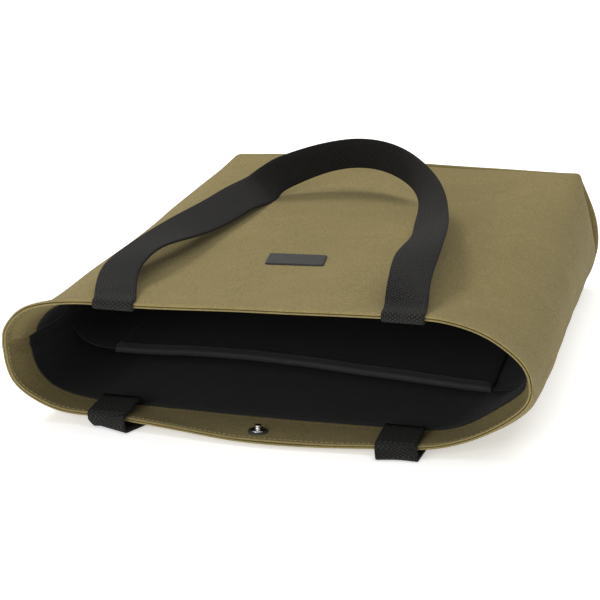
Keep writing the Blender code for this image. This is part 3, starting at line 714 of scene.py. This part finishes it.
RINGS = [(0.0, 1.0, 0.3932), (0.75, 1.0, 0.3938), (1.0, 1.0, 0.3949), (1.0, 0.998, 0.3962), (0.75, 0.99, 0.3974),
         (0.3, 0.97, 0.3984), (0, 0.93, 0.3989), (0, 0.85, 0.3993), (0, 0.72, 0.3994), (0, 0.55, 0.3994),
         (0, 0.35, 0.3993), (0, 0.15, 0.3991)]
B, BN = base_rings(0.0, RINGS)
if BN[:, 8, 1].mean() < 0:
    BN = -BN
for i in range(B.shape[0]):
    for j in range(6, B.shape[1]):
        x, y, z = B[i, j]
        B[i, j, 1] += 0.0011 * noise.noise(Vector((x * 17, 0.7, z * 26))) + 0.0010 * math.sin(math.pi * min(1, max(0, z / 0.094)))
UVB = np.stack([B[..., 0], B[..., 2]], 2)
base_canvas = thick_sheet("base_canvas", B, BN, CANVAS, wrap=True, close_end=True, uv=UVB + np.array([0.0, 0.5]))
paint(base_canvas, M_CANVAS)

for ob in (front_canvas, back_canvas, base_canvas):
    span(ob)
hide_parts("front_panel")
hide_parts("back_panel", "left_side_wall", "right_side_wall")
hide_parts("base_panel")

# --------------------------------------------------- facing band inside the rim
low = smooth((-NRM[..., 2] - 0.55) / 0.4)              # 1 where the wall is the bag's floor
inner = CANVAS + 0.0004
extra_face = low * np.clip(0.0059 - (G[..., 2] + inner + FACING), 0, 0.006)
# the facing and the lining are sewn in at the rim only and hang a little loose
cloth_y = np.broadcast_to(ROWS[None, :], G.shape[:2])
ring = TK / TOTAL
right_low = np.exp(-((S_ALL - TK[17]) / 0.034) ** 2)
right_up = np.exp(-((S_ALL - TK[14]) / 0.024) ** 2)
left_low = np.exp(-((S_ALL - TK[28]) / 0.030) ** 2)
slack = ((0.0078 * right_low + 0.0052 * right_up + 0.0018 * left_low)[:, None]
         * smooth(cloth_y / 0.042) * (1 - 0.35 * smooth((cloth_y - 0.06) / 0.12)))
ripple = np.array([[noise.noise(Vector((G[i, 0, 0] * 26, G[i, 0, 2] * 30, ROWS[j] * 30))) for j in range(G.shape[1])]
                   for i in range(G.shape[0])])
slack = slack * (1 + 0.35 * ripple)
left_side = np.exp(-((G[:, 0, 0] + 0.178) / 0.045) ** 2) * (G[:, 0, 0] < 0)
narrow = 0.0085 * left_side[:, None] * smooth(cloth_y / 0.040) * (1 - smooth((cloth_y - 0.045) / 0.06))
face_off = inner + extra_face + slack
jf = int(np.searchsorted(ROWS, 0.0400)) + 1
FP = (G - NRM * face_off[..., None])[:, :jf]
FP[:, 0, 1] -= 0.0002
FP[..., 1] -= narrow[:, :jf]
# the folded allowance beside the left seam: cloth above it laps over the cloth below
lap = np.zeros(G.shape[:2])
for i in range(G.shape[0]):
    for j in range(G.shape[1]):
        x, y, z = G[i, j]
        if x < -0.12 and ROWS[j] < 0.11:
            d = z - (0.0600 - 0.05 * ROWS[j])
            shape = math.exp(-d / 0.016) if d > 0 else math.exp(-(d / 0.0011) ** 2)
            lap[i, j] = 0.0054 * shape * smooth((ROWS[j] - 0.002) / 0.016) * (1 - smooth((ROWS[j] - 0.05) / 0.05))
FP = FP - NRM[:, :jf] * lap[:, :jf, None]
FN = NRM[:, :jf]
facing_band = thick_sheet("facing_band", FP, FN, FACING, wrap=True, uv=UV[:, :jf])
paint(facing_band, M_INNER)
span(facing_band)
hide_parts("back_facing", "front_facing", "left_facing", "right_facing")

# ------------------------------------------------------------------------ lining
j0 = int(np.searchsorted(ROWS, 0.0385))
tuck = np.exp(-np.clip(ROWS - 0.0400, 0, 1) / 0.0022)
line_off = inner + 0.0004 + extra_face * 0 + (FACING - 0.0001) * tuck[None, :]
floor_z = 0.0051
deeper = low * np.clip(floor_z + 0.0010 * tuck[None, :] - G[..., 2], 0, 0.006)
line_off = np.maximum(line_off, deeper)
line_off = np.maximum(line_off, deeper) + slack + lap
line_off = np.maximum(line_off, (face_off + lap + FACING + 0.0003) * (ROWS[None, :] <= 0.0402))
LP = (G - NRM * line_off[..., None])[:, j0:-2]
LP[..., 1] -= narrow[:, j0:-2]
for i in range(LP.shape[0]):
    for j in range(LP.shape[1]):
        x, y, z = LP[i, j]
        n = NRM[i, j0 + j]
        crease = noise.noise(Vector((x * 18, y * 11, z * 18)))
        sharp = abs(noise.noise(Vector((x * 9 + 5, y * 26, z * 30))))
        amp = smooth((y - 0.042) / 0.03) * (1 - 0.75 * low[i, j0 + j])
        LP[i, j] -= n * amp * max(0.0, 0.0011 + 0.0016 * crease + 0.0018 * (0.35 - sharp))
LN = NRM[:, j0:-2]
lining = thick_sheet("lining_cloth", LP, LN, 0.0006, wrap=True, uv=UV[:, j0:-2])
paint(lining, M_LINING)
span(lining)
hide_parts("back_lining", "front_lining", "left_lining", "right_lining")

CR = LP[:, -1]
mid_line = np.stack([np.clip(CR[:, 0], -0.066, 0.102), np.zeros(len(CR)), np.full(len(CR), 0.047)], 1)
rings = []
for scale, y in ((0.999, 0.3885), (0.985, 0.3898), (0.95, 0.3903), (0.85, 0.3905), (0.6, 0.3905), (0.3, 0.3904), (0.1, 0.3904)):
    q = mid_line + (CR - mid_line) * scale
    q[:, 1] = y
    rings.append(q)
LB = np.stack(rings, 1)
LBN = grid_normals(LB)
if LBN[:, 3, 1].mean() < 0:
    LBN = -LBN
base_lining = thick_sheet("lining_base", LB, LBN, 0.0006, wrap=True, close_end=True, uv=np.stack([LB[..., 0], LB[..., 2]], 2))
paint(base_lining, M_LINING)
span(base_lining)
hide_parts("base_lining")

# padding between the canvas and the lining, on the bag's floor
bi = [i for i in range(len(S_ALL)) if G[i, 40, 2] < 0.004 and NRM[i, 40, 2] < -0.9]
bi = bi[3:-3]
jp0, jp1 = int(np.searchsorted(ROWS, 0.052)), len(ROWS) - 4
PP = (G - NRM * (CANVAS + 0.0003))[bi][:, jp0:jp1]
PT = np.clip(0.0047 - PP[..., 2], 0.0010, 0.0034)
pad = thick_sheet("back_padding", PP, NRM[bi][:, jp0:jp1], PT, uv=UV[bi][:, jp0:jp1])
paint(pad, M_FOAM)
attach(pad, "bag_back")
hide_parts("back_pad")


# ------------------------------------------------------------- laptop divider
def centre(y):
    return 0.018 * y / L


HEM_X = np.array([-0.1290, -0.1230, -0.0800, -0.0340, 0.0200, 0.0740, 0.1100, 0.1300, 0.1400])
HEM_Y = np.array([0.0940, 0.0952, 0.1010, 0.1015, 0.0960, 0.0872, 0.0812, 0.0770, 0.0740])


def hem_y(x):
    return float(np.interp(x, HEM_X, HEM_Y))


nx, ny = 64, 40
DP = np.zeros((nx + 1, ny + 1, 3))
for i in range(nx + 1):
    a = -1 + 2 * i / nx
    x0 = 0.0045 + a * 0.1335
    y0 = hem_y(x0)
    for j in range(ny + 1):
        f = (j / ny) ** 1.15
        y = y0 + (0.3850 - y0) * f
        x = x0 + (centre(y) - 0.0045) * (y - y0) / (0.385 - y0) - a * 0.004 * f
        sag = 0.0011 * math.sin(math.pi * f) * (1 - a * a)
        z = 0.0268 - sag + 0.0005 * noise.noise(Vector((x * 20, y * 14, 2.0)))
        z -= 0.0006 * math.exp(-((f - 0.045) / 0.012) ** 2)
        z += 0.0008 * smooth((abs(a) - 0.85) / 0.15)
        DP[i, j] = (x, y, z)
DN = grid_normals(DP, wrap=False)
if DN[nx // 2, ny // 2, 2] < 0:
    DN = -DN
DT = 0.0038 * np.ones(DP.shape[:2])
divider = thick_sheet("pocket_divider", DP, DN, DT, arcs=4)
paint(divider, M_POCKET)
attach(divider, "divider")
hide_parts("divider_back_cloth", "divider_foam", "divider_front_cloth")

# its bound hem: a tape folded over the front edge
sect = []
for k in range(13):
    ang = math.pi * k / 12
    sect.append((-0.0024 * math.sin(ang), 0.0024 * math.cos(ang)))
sect = [(0.0085, 0.0023)] + [(0.004, 0.0024)] + sect + [(0.004, -0.0024), (0.0085, -0.0023)]
HB = np.zeros((nx + 1, len(sect), 3))
for i in range(nx + 1):
    c = DP[i, 0] - DN[i, 0] * 0.0019
    for j, (dy, dz) in enumerate(sect):
        HB[i, j] = c + np.array([0, dy, 0]) + DN[i, 0] * dz
HN = grid_normals(HB, wrap=False)
if HN[nx // 2, 1, 2] < 0:
    HN = -HN
hem = thick_sheet("divider_hem_tape", HB, HN, 0.0004, arcs=1)
paint(hem, M_BINDING)
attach(hem, "divider")
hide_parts("divider_binding")

# cloth wings from the divider up to the side seams
for side, word in ((-1, "left"), (1, "right")):
    cols, rws = 14, 30
    WP = np.zeros((cols + 1, rws + 1, 3))
    edge = DP[0] if side < 0 else DP[-1]
    for j in range(rws + 1):
        f = j / rws
        e = edge[min(ny, int(round(f * ny)))]
        y = e[1]
        # the wall's inside at this y: the seam's place
        jj = int(np.argmin(np.abs(ROWS - y)))
        seam = (G - NRM * 0.0036)[NF if side > 0 else 0, jj]
        s0 = np.array([e[0] + side * 0.0008, y, e[2] - 0.0016])
        s3 = np.array([seam[0] - side * 0.0012, y - 0.001 * (1 - f), seam[2] - 0.001])
        s1 = s0 + np.array([side * 0.012, 0, 0.0012])
        s2 = s3 + np.array([-side * 0.006, 0, -0.0130])
        for i in range(cols + 1):
            t = i / cols
            p = s0 * (1 - t) ** 3 + 3 * s1 * t * (1 - t) ** 2 + 3 * s2 * t * t * (1 - t) + s3 * t ** 3
            p[1] -= 0.004 * math.sin(math.pi * t) * (1 - f) ** 2
            WP[i, j] = p
    WN = grid_normals(WP, wrap=False)
    if WN[cols // 2, rws // 2, 2] < 0:
        WN = -WN
    wing = thick_sheet(f"pocket_wing_{word}", WP, WN, 0.0008)
    paint(wing, M_LINING)
    span(wing)
    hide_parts(f"divider_wing_{word}")

# ------------------------------------------------------------ webbing handles
X = np.array([1.0, 0.0, 0.0])


def rim_point(s, y=0.0):
    """A point of the outer surface near the rim, at parameter s, and its normal."""
    i = int(np.argmin(np.abs(S_ALL - s)))
    j = int(np.argmin(np.abs(ROWS - y)))
    return G[i, j], NRM[i, j], i


def s_at(x, lower=False):
    idx = np.arange(NF, len(S_ALL)) if lower else np.arange(0, NF + 1)
    c = G[idx, 0, 0]
    keep = idx[np.abs(NRM[idx, 0, 2]) > 0.6]
    return int(keep[np.argmin(np.abs(G[keep, 0, 0] - x))])


GRIP_X = (-0.0972, 0.0920)
LOOP = [None, (-0.1012, 0.0166, 0.0955), (-0.1048, 0.0307, 0.0981), (-0.1060, 0.0488, 0.1026), (-0.1005, 0.0770, 0.1073),
        (-0.0913, 0.1143, 0.1077), (-0.0848, 0.1507, 0.1061), (-0.0791, 0.1864, 0.1052), (-0.0745, 0.2210, 0.1049),
        (-0.0700, 0.2447, 0.1038), (-0.0665, 0.2580, 0.1040), (-0.0625, 0.2670, 0.1071), (-0.0570, 0.2750, 0.1110),
        (-0.0462, 0.2833, 0.1152), (-0.0343, 0.2902, 0.1191), (-0.0210, 0.2957, 0.1225), (-0.0050, 0.2990, 0.1250),
        (0.0108, 0.2979, 0.1255), (0.0239, 0.2933, 0.1244), (0.0359, 0.2855, 0.1223), (0.0480, 0.2730, 0.1190),
        (0.0578, 0.2567, 0.1152), (0.0648, 0.2388, 0.1121), (0.0705, 0.2171, 0.1098), (0.0760, 0.1870, 0.1092),
        (0.0818, 0.1514, 0.1125), (0.0858, 0.1184, 0.1160), (0.0876, 0.0868, 0.1175), (0.0885, 0.0560, 0.1160),
        (0.0898, 0.0340, 0.1125), (0.0908, 0.0208, 0.1073), (0.0915, 0.0114, 0.1015), None]
LEAN = [0, -8, -7, -4, -5, 11, 23, 27, 29, 36, 47, 70, 88, 98, 105, 111, 113, 111, 106, 100, 92, 78, 60, 43, 30, 25, 18, 6,
        -12, -20, -16, -6, 0]
iL, iR = s_at(GRIP_X[0]), s_at(GRIP_X[1])
zl, zr = G[iL, 0, 2], G[iR, 0, 2]
LOOP[0] = (GRIP_X[0], 0.0030, zl + 0.0013)
LOOP[-1] = (GRIP_X[1], 0.0030, zr + 0.0013)
ts = np.linspace(0, 32, 145)
pts, slope = natural(LOOP, ts)
lean = np.radians(natural([[v] for v in LEAN], ts)[0][:, 0])
T = unit(slope)
Zv = np.array([0.0, 0.0, 1.0])
Nz = unit(Zv - (T @ Zv)[:, None] * T)
Nh = np.cross(T, Nz)
NN = np.cos(lean)[:, None] * Nz + np.sin(lean)[:, None] * Nh
WW = np.cross(NN, T)
# near each rim the strap lies flat on the panel, sewn down, before it lifts
for k in range(len(pts)):
    x, y, z = pts[k]
    if y < 0.020:
        base = (zl if x < 0 else zr) + 0.0013 + (0.0005 * y / 0.03)
        h = float(smooth((y - 0.004) / 0.016))
        pts[k, 2] = base * (1 - h) + z * h


def fold(x, rim_z, lip=0.0030, tail=0.036):
    """The strap's way from inside the mouth round the rim: points and heights."""
    inside = rim_z - CANVAS - 0.0004 - FACING - 0.0004 - WEB_T / 2
    outside = rim_z + 0.0013
    r = (outside - inside) / 2
    zc = (outside + inside) / 2
    path = [(x, tail, inside - 0.0004), (x, tail * 0.75, inside - 0.0002), (x, tail * 0.5, inside), (x, tail * 0.25, inside),
            (x, 0.004, inside), (x, 0.0012, inside)]
    for k in range(0, 13):
        a = math.pi * k / 12
        path.append((x, -0.0004 - r * 0.72 * math.sin(a), zc - r * math.cos(a)))
    return np.array(path)


left_fold, right_fold = fold(GRIP_X[0], zl), fold(GRIP_X[1], zr)[::-1]
C = np.concatenate([left_fold, pts, right_fold])
Wd = np.concatenate([np.tile(-X, (len(left_fold), 1)), WW, np.tile(X, (len(right_fold), 1))])
# even the width direction out next to the folds
nl = len(left_fold)
for k in range(12):
    f = smooth(k / 12)
    Wd[nl + k] = unit(-X * (1 - f) + Wd[nl + k] * f)
    Wd[-nl - 1 - k] = unit(X * (1 - f) + Wd[-nl - 1 - k] * f)
front_strap, fc, fw, fn = strip("front_handle_webbing", C, Wd, WEB_W, WEB_T, cells=8)
paint(front_strap, M_WEB)
s0 = np.array([0.0, 0.0, 0.0921])
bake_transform(front_strap)
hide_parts("front_handle", "front_handle_tail_left", "front_handle_tail_right")

# rear straps: from inside, over the rim, down to the surface and away under the bag
rear_pieces = []
legs = []
for x, mouth_x, drop_x, word in ((-0.1070, (-0.1195, 0.0118), (-0.1061, 0.0093), "left"), (0.0880, None, None, "right")):
    i = s_at(x, lower=True)
    p0 = G[i, 0]
    zo = p0[2]
    zin = zo + CANVAS + 0.0004 + FACING + 0.0004 + WEB_T / 2
    yr = p0[1]
    if word == "left":
        turn, foot = math.radians(22.5), np.array([-0.1050, 0.0088])
        heading = math.radians(24)
    else:
        turn, foot = math.radians(-7.5), np.array([0.0893, 0.0012])
        heading = math.radians(5)
    across = np.array([math.cos(turn), -math.sin(turn), 0.0])
    path, wid = [], []
    for y in (0.030, 0.024, 0.018, 0.013):
        path.append((x, yr + y, zin + 0.0003)); wid.append(X)
    path.append((x, yr + 0.007, zin)); wid.append(X)
    path.append((x, yr + 0.002, zin)); wid.append(X)
    top = np.array([x, yr - 0.0006, zin])
    bottom = np.array([foot[0], foot[1] - 0.0, 0.0014])
    for k in range(1, 8):
        f = k / 8
        a = f * math.pi / 2
        path.append((x, yr - 0.0006 - 0.0026 * math.sin(a), zin - 0.0026 * (1 - math.cos(a))))
        wid.append(unit(X * (1 - 0.25 * f) + across * 0.25 * f))
    start = np.array(path[-1])
    end = np.array([foot[0], foot[1] - 0.0012, 0.0032])
    for k in range(1, 6):
        f = k / 5
        path.append(tuple(start * (1 - f) + end * f)); wid.append(unit(X * (0.75 * (1 - f)) + across * (0.25 + 0.75 * f)))
    for k in range(1, 8):
        a = math.pi / 2 * k / 7
        fwd = np.array([math.sin(heading), math.cos(heading), 0])
        q = end + np.array([0, 0, -0.0019 * math.sin(a)]) + fwd * 0.0019 * (1 - math.cos(a))
        path.append(tuple(q)); wid.append(across)
    legs.append((np.array(path), np.array([unit(np.array(w)) for w in wid]), heading, x))

lp, lw, lh, _ = legs[0]
rp, rw, rh, _ = legs[1]
lead_l, lead_r = lp[-1], rp[-1]
far_l = np.array([0.0116, 0.2680, 0.0012])
far_r = np.array([0.1113, 0.2780, 0.0012])


def corner_arc(a, b, c, r, n=9):
    """Rounded corner of a flat route: points from a's side to c's side of b."""
    u, v = unit(a - b), unit(c - b)
    ang = math.acos(float(np.clip(u @ v, -1, 1)))
    d = r / math.tan(ang / 2)
    centre_p = b + unit(u + v) * (r / math.sin(ang / 2))
    q0, q1 = b + u * d, b + v * d
    a0, a1 = q0 - centre_p, q1 - centre_p
    sweep = math.acos(float(np.clip(unit(a0) @ unit(a1), -1, 1)))
    out = []
    for k in range(n):
        f = k / (n - 1)
        w = (math.sin((1 - f) * sweep) * a0 + math.sin(f * sweep) * a1) / math.sin(sweep)
        out.append(centre_p + w)
    return out


route = []
route += [lead_l + (far_l - lead_l) * f for f in np.linspace(0.04, 0.86, 26)]
arc1 = corner_arc(lead_l, far_l, far_r, 0.018)
arc2 = corner_arc(far_l, far_r, lead_r, 0.018)
route += arc1
route += [arc1[-1] + (arc2[0] - arc1[-1]) * f for f in np.linspace(0.15, 0.85, 6)]
route += arc2
route += [arc2[-1] + (lead_r - arc2[-1]) * f for f in np.linspace(0.05, 0.96, 26)]
route = np.array(route)
route[:, 2] = 0.0012
CC = np.concatenate([lp, route, rp[::-1]])
flat_T = unit(np.gradient(CC, axis=0) * np.array([1, 1, 0]))
WR = np.stack([flat_T[:, 1], -flat_T[:, 0], np.zeros(len(CC))], 1)
nl, nr = len(lp), len(rp)
WR[:nl] = lw
WR[-nr:] = -rw[::-1]
for k in range(6):
    f = smooth((k + 1) / 7)
    WR[nl + k] = unit(lw[-1] * (1 - f) + WR[nl + k] * f)
    WR[-nr - 1 - k] = unit(-rw[-1] * (1 - f) + WR[-nr - 1 - k] * f)
back_strap, bc, bw, bn = strip("back_handle_webbing", CC, WR, WEB_W, WEB_T, cells=8)
paint(back_strap, M_WEB)
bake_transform(back_strap)
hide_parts("back_handle", "back_handle_tail_left", "back_handle_tail_right")

# ------------------------------------------------------------------- stitching
def interp_row(y, off, sign=1.0):
    j = int(np.searchsorted(ROWS, y))
    f = (y - ROWS[j - 1]) / (ROWS[j] - ROWS[j - 1])
    P = G[:, j - 1] * (1 - f) + G[:, j] * f
    n = unit(NRM[:, j - 1] * (1 - f) + NRM[:, j] * f)
    o = off[:, j] if hasattr(off, "shape") else off
    return P - n * (np.asarray(o).reshape(-1, 1) if hasattr(off, "shape") else off), n * sign


def clear_of(P, centres, gap, low_side):
    """Runs of a closed line, left open where webbing covers it."""
    out, run = [], []
    order = list(range(len(P))) + [0]
    for i in order:
        hidden = any(abs(P[i, 0] - c) < gap for c in centres[1 if NRM[i, 0, 2] < 0 else 0]) and abs(NRM[i, 0, 2]) > 0.5
        if hidden:
            if len(run) > 3:
                out.append(run)
            run = []
        else:
            run.append(i)
    if len(run) > 3:
        out.append(run)
    return out


sides = ((GRIP_X[0], GRIP_X[1]), (-0.107, 0.088))
P, n = interp_row(0.0024, 0.0)
outer_runs = [(P[r], n[r]) for r in clear_of(P, sides, 0.0150, False)]
top_outer = stitches("rim_topstitch_outer", outer_runs)
paint(top_outer, M_THREAD)
span(top_outer)
P, n = interp_row(0.0024, face_off + lap + FACING, -1.0)
inner_runs = [(P[r], n[r]) for r in clear_of(P, sides, 0.0150, False)]
top_inner = stitches("rim_topstitch_inner", inner_runs)
paint(top_inner, M_THREAD)
span(top_inner)

# a second row where the lining is sewn to the facing
P, n = interp_row(0.0362, face_off + lap + FACING, -1.0)
P[:, 1] -= narrow[:, int(np.searchsorted(ROWS, 0.0362))]
seam_runs = [(P[r], n[r]) for r in clear_of(P, sides, 0.0150, False)]
lin_stitch = stitches("facing_edge_stitch", seam_runs, length=0.0021, radius=0.00020, pitch=0.0030)
paint(lin_stitch, M_INNER)
span(lin_stitch)

# bar tacks over the rim at both side seams
tacks = []
for i in (0, NF):
    for off in (-0.0022, -0.0011, 0.0, 0.0011, 0.0022):
        t_u = unit(G[(i + 1) % len(G), 0] - G[i - 1, 0])
        c = G[i, 0] + t_u * off
        nrm = NRM[i, 0]
        run = [c + nrm * 0.0001 + np.array([0, 0.0010, 0]), c + nrm * 0.0001 + np.array([0, -0.0003, 0]),
               c - nrm * 0.0006 + np.array([0, -0.00075, 0]), c - nrm * 0.0016 + np.array([0, -0.0008, 0]),
               c - nrm * 0.0026 + np.array([0, -0.0006, 0])]
        nn = [nrm, nrm - np.array([0, 1.0, 0]), -np.array([0, 1.0, 0]), -np.array([0, 1.0, 0]), -nrm - np.array([0, 1.0, 0])]
        tacks.append((np.array(run), unit(np.array(nn))))
bar = stitches("seam_bar_tacks", tacks, length=0.0034, radius=0.00022, pitch=0.0038)
paint(bar, M_THREAD)
span(bar)

# thread across the rear webbing where the topstitch runs over it
runs = []
for k0, sgn in ((6, 1), (len(bc) - 7, -1)):
    c, w, nn = bc[k0], bw[k0], bn[k0]
    up = nn if nn[2] > 0 else -nn
    line = np.array([c + w * a + up * (WEB_T / 2) for a in np.linspace(-0.0128, 0.0128, 9)])
    runs.append((line, np.tile(up, (9, 1))))
rear_thread = stitches("rear_webbing_topstitch", runs, length=0.0024, radius=0.00026)
paint(rear_thread, M_THREAD_DARK)
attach(rear_thread, "bag_back")

# dark box stitching that holds the front straps down behind the rim
runs = []
for end in (0, 1):
    ks = range(len(left_fold) + 1, len(left_fold) + 30) if end == 0 else range(len(fc) - len(right_fold) - 30, len(fc) - len(right_fold) - 1)
    ks = [k for k in ks if 0.004 < fc[k][1] < 0.0185]
    if len(ks) > 1:
        for sgn in (-1, 1):
            line = np.array([fc[k] + fw[k] * sgn * 0.0110 + fn[k] * WEB_T / 2 for k in ks])
            runs.append((line, np.array([fn[k] for k in ks])))
        for k in (ks[0], ks[-1]):
            line = np.array([fc[k] + fw[k] * a + fn[k] * WEB_T / 2 for a in np.linspace(-0.0110, 0.0110, 9)])
            runs.append((line, np.tile(fn[k], (9, 1))))
if runs:
    box_thread = stitches("front_webbing_stitch", runs, length=0.0022, radius=0.00022, pitch=0.0030)
    paint(box_thread, M_THREAD_DARK)
    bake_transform(box_thread)

# ------------------------------------------------------------- badge and snap
BX, BY = -0.0033, 0.1100
bi_ = int(np.argmin(np.abs(G[:NF, 24, 0] - BX)))
jb = int(np.argmin(np.abs(ROWS - BY)))
zb = float(G[bi_, jb, 2])


def plate(name, w, l, levels, turn, radius, cz):
    """A flat plate with a soft edge: levels are (inset, height) from foot to crown."""
    verts, faces = [], []
    seg = 8
    for inset, h in levels:
        r = max(0.0002, radius - inset)
        for cx, cy, a0 in ((1, 1, 0), (-1, 1, 90), (-1, -1, 180), (1, -1, 270)):
            for k in range(seg + 1):
                a = math.radians(a0 + 90 * k / seg)
                x = cx * (w / 2 - inset - r) + r * math.cos(a)
                y = cy * (l / 2 - inset - r) + r * math.sin(a)
                verts.append((BX + x * math.cos(turn) - y * math.sin(turn), BY + x * math.sin(turn) + y * math.cos(turn), cz + h))
    m = 4 * (seg + 1)
    for k in range(len(levels) - 1):
        for i in range(m):
            j = (i + 1) % m
            faces.append((k * m + i, k * m + j, (k + 1) * m + j, (k + 1) * m + i))
    faces.append(tuple(range(m))[::-1])
    faces.append(tuple(range((len(levels) - 1) * m, len(levels) * m)))
    return make_object(name, verts, faces, [(v[0], v[1]) for v in verts])


badge = plate("blank_badge", 0.0400, 0.0230,
              [(0.0005, -0.0006), (0.0001, -0.0002), (0.0, 0.0003), (0.0, 0.0009), (0.00025, 0.0014), (0.0008, 0.00165),
               (0.0016, 0.0017), (0.0018, 0.00155), (0.0024, 0.00155), (0.0026, 0.0017), (0.0040, 0.00172)],
              math.radians(6.0), 0.0016, zb)
paint(badge, M_PLATE)
bev = badge.modifiers.new("round", "BEVEL")
bev.width = 0.0001
bev.segments = 2
bev.limit_method = "ANGLE"
badge.data.polygons.foreach_set("use_smooth", [True] * len(badge.data.polygons))
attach(badge, "bag_front")
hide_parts("badge_plate")
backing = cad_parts["badge_backing"]
backing.data.materials.clear()
backing.data.materials.append(M_METAL)

sx, sy = -0.0055, 0.0140
z0 = 0.0060
washer = lathe("stud_ring", sx, sy, [(0.0, z0 - 0.0004), (0.0064, z0 - 0.0004), (0.0067, z0 + 0.0001), (0.0066, z0 + 0.0006),
                                     (0.0062, z0 + 0.0009), (0.0055, z0 + 0.0010), (0.0, z0 + 0.0010)])
paint(washer, M_WASHER)
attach(washer, "bag_back")
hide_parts("stud_washer")
z1 = z0 + 0.0010
stud = lathe("snap_post", sx, sy, [(0.0, z1), (0.0049, z1), (0.0051, z1 + 0.0002), (0.0049, z1 + 0.0006), (0.0043, z1 + 0.0009),
                                   (0.0030, z1 + 0.0009), (0.0024, z1 + 0.0011), (0.00195, z1 + 0.0016), (0.0018, z1 + 0.0021),
                                   (0.0022, z1 + 0.0027), (0.0024, z1 + 0.0032), (0.0022, z1 + 0.0036), (0.0015, z1 + 0.0039),
                                   (0.0, z1 + 0.0040)])
paint(stud, M_METAL)
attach(stud, "bag_back")
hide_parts("snap_stud", "stud_backing")
it = s_at(sx)
js = int(np.argmin(np.abs(ROWS - sy)))
zt = float(G[it, js, 2]) - CANVAS - 0.0004 - FACING
ring = lathe("socket_ring", sx, sy, [(0.0, zt + 0.0003), (0.0065, zt + 0.0003), (0.0067, zt - 0.0002), (0.0064, zt - 0.0007),
                                     (0.0056, zt - 0.0010), (0.0, zt - 0.0010)])
paint(ring, M_WASHER)
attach(ring, "bag_front")
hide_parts("socket_washer")
zq = zt - 0.0010
cup = lathe("snap_cup", sx, sy, [(0.0031, zq), (0.0055, zq), (0.0055, zq - 0.0004), (0.0049, zq - 0.0010), (0.0045, zq - 0.0016),
                                 (0.0042, zq - 0.0020), (0.0037, zq - 0.0021), (0.0031, zq - 0.0020), (0.0028, zq - 0.0016),
                                 (0.0031, zq - 0.0010)])
paint(cup, M_METAL)
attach(cup, "bag_front")
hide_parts("snap_socket")

# --------------------------------------------------------- floor, light, camera
floor_mesh = bpy.data.meshes.new("floor")
floor_mesh.from_pydata([(-9, -9, -0.0002), (9, -9, -0.0002), (9, 9, -0.0002), (-9, 9, -0.0002)], [], [(0, 1, 2, 3)])
floor = bpy.data.objects.new("floor", floor_mesh)
bpy.context.scene.collection.objects.link(floor)
mat, tree, shader = new_material("floor_white", (0.93, 0.93, 0.93), 0.9, specular=0.1)
fl = noise_of(tree, node(tree, "ShaderNodeTexCoord").outputs["Object"], 3.0)
tree.links.new(mix_colour(tree, fl, (0.925, 0.925, 0.925), (0.935, 0.935, 0.935)), shader.inputs["Base Color"])
shader.inputs["Emission Color"].default_value = (1, 1, 1, 1)
shader.inputs["Emission Strength"].default_value = 0.44
floor_mesh.materials.append(mat)

world = bpy.data.worlds.new("studio")
world.use_nodes = True
world.node_tree.nodes["Background"].inputs[0].default_value = (1.0, 1.0, 1.0, 1)
world.node_tree.nodes["Background"].inputs[1].default_value = 0.50
bpy.context.scene.world = world


def area(name, loc, target, size, power, colour=(1, 1, 1)):
    data = bpy.data.lights.new(name, "AREA")
    data.shape = "RECTANGLE"
    data.size, data.size_y = size
    data.energy = power
    data.color = colour
    ob = bpy.data.objects.new(name, data)
    bpy.context.scene.collection.objects.link(ob)
    ob.location = loc
    ob.rotation_euler = (Vector(target) - Vector(loc)).to_track_quat("-Z", "Y").to_euler()
    return ob


area("key", (-0.80, 0.62, 1.45), (0, 0, 0.05), (0.50, 0.50), 13.5, (1.0, 0.985, 0.96))
area("top", (0.5, -0.1, 1.7), (0, 0, 0.05), (1.4, 1.4), 11.0)
area("front", (-0.5, -1.9, 0.70), (0.1, 0.0, 0.03), (1.2, 0.8), 17.0)

cam_data = bpy.data.cameras.new("camera")
cam_data.sensor_width = 36.0
cam_data.lens = 117.06
cam_data.clip_start, cam_data.clip_end = 0.05, 40.0
cam = bpy.data.objects.new("camera", cam_data)
bpy.context.scene.collection.objects.link(cam)
cam.location = (0.3024, -1.32285, 0.4779)
cam.rotation_euler = (math.pi / 2 - 0.3121, 0.0, 0.2399)
bpy.context.scene.camera = cam
bpy.context.scene.view_settings.view_transform = "Standard"
bpy.context.scene.view_settings.look = "None"
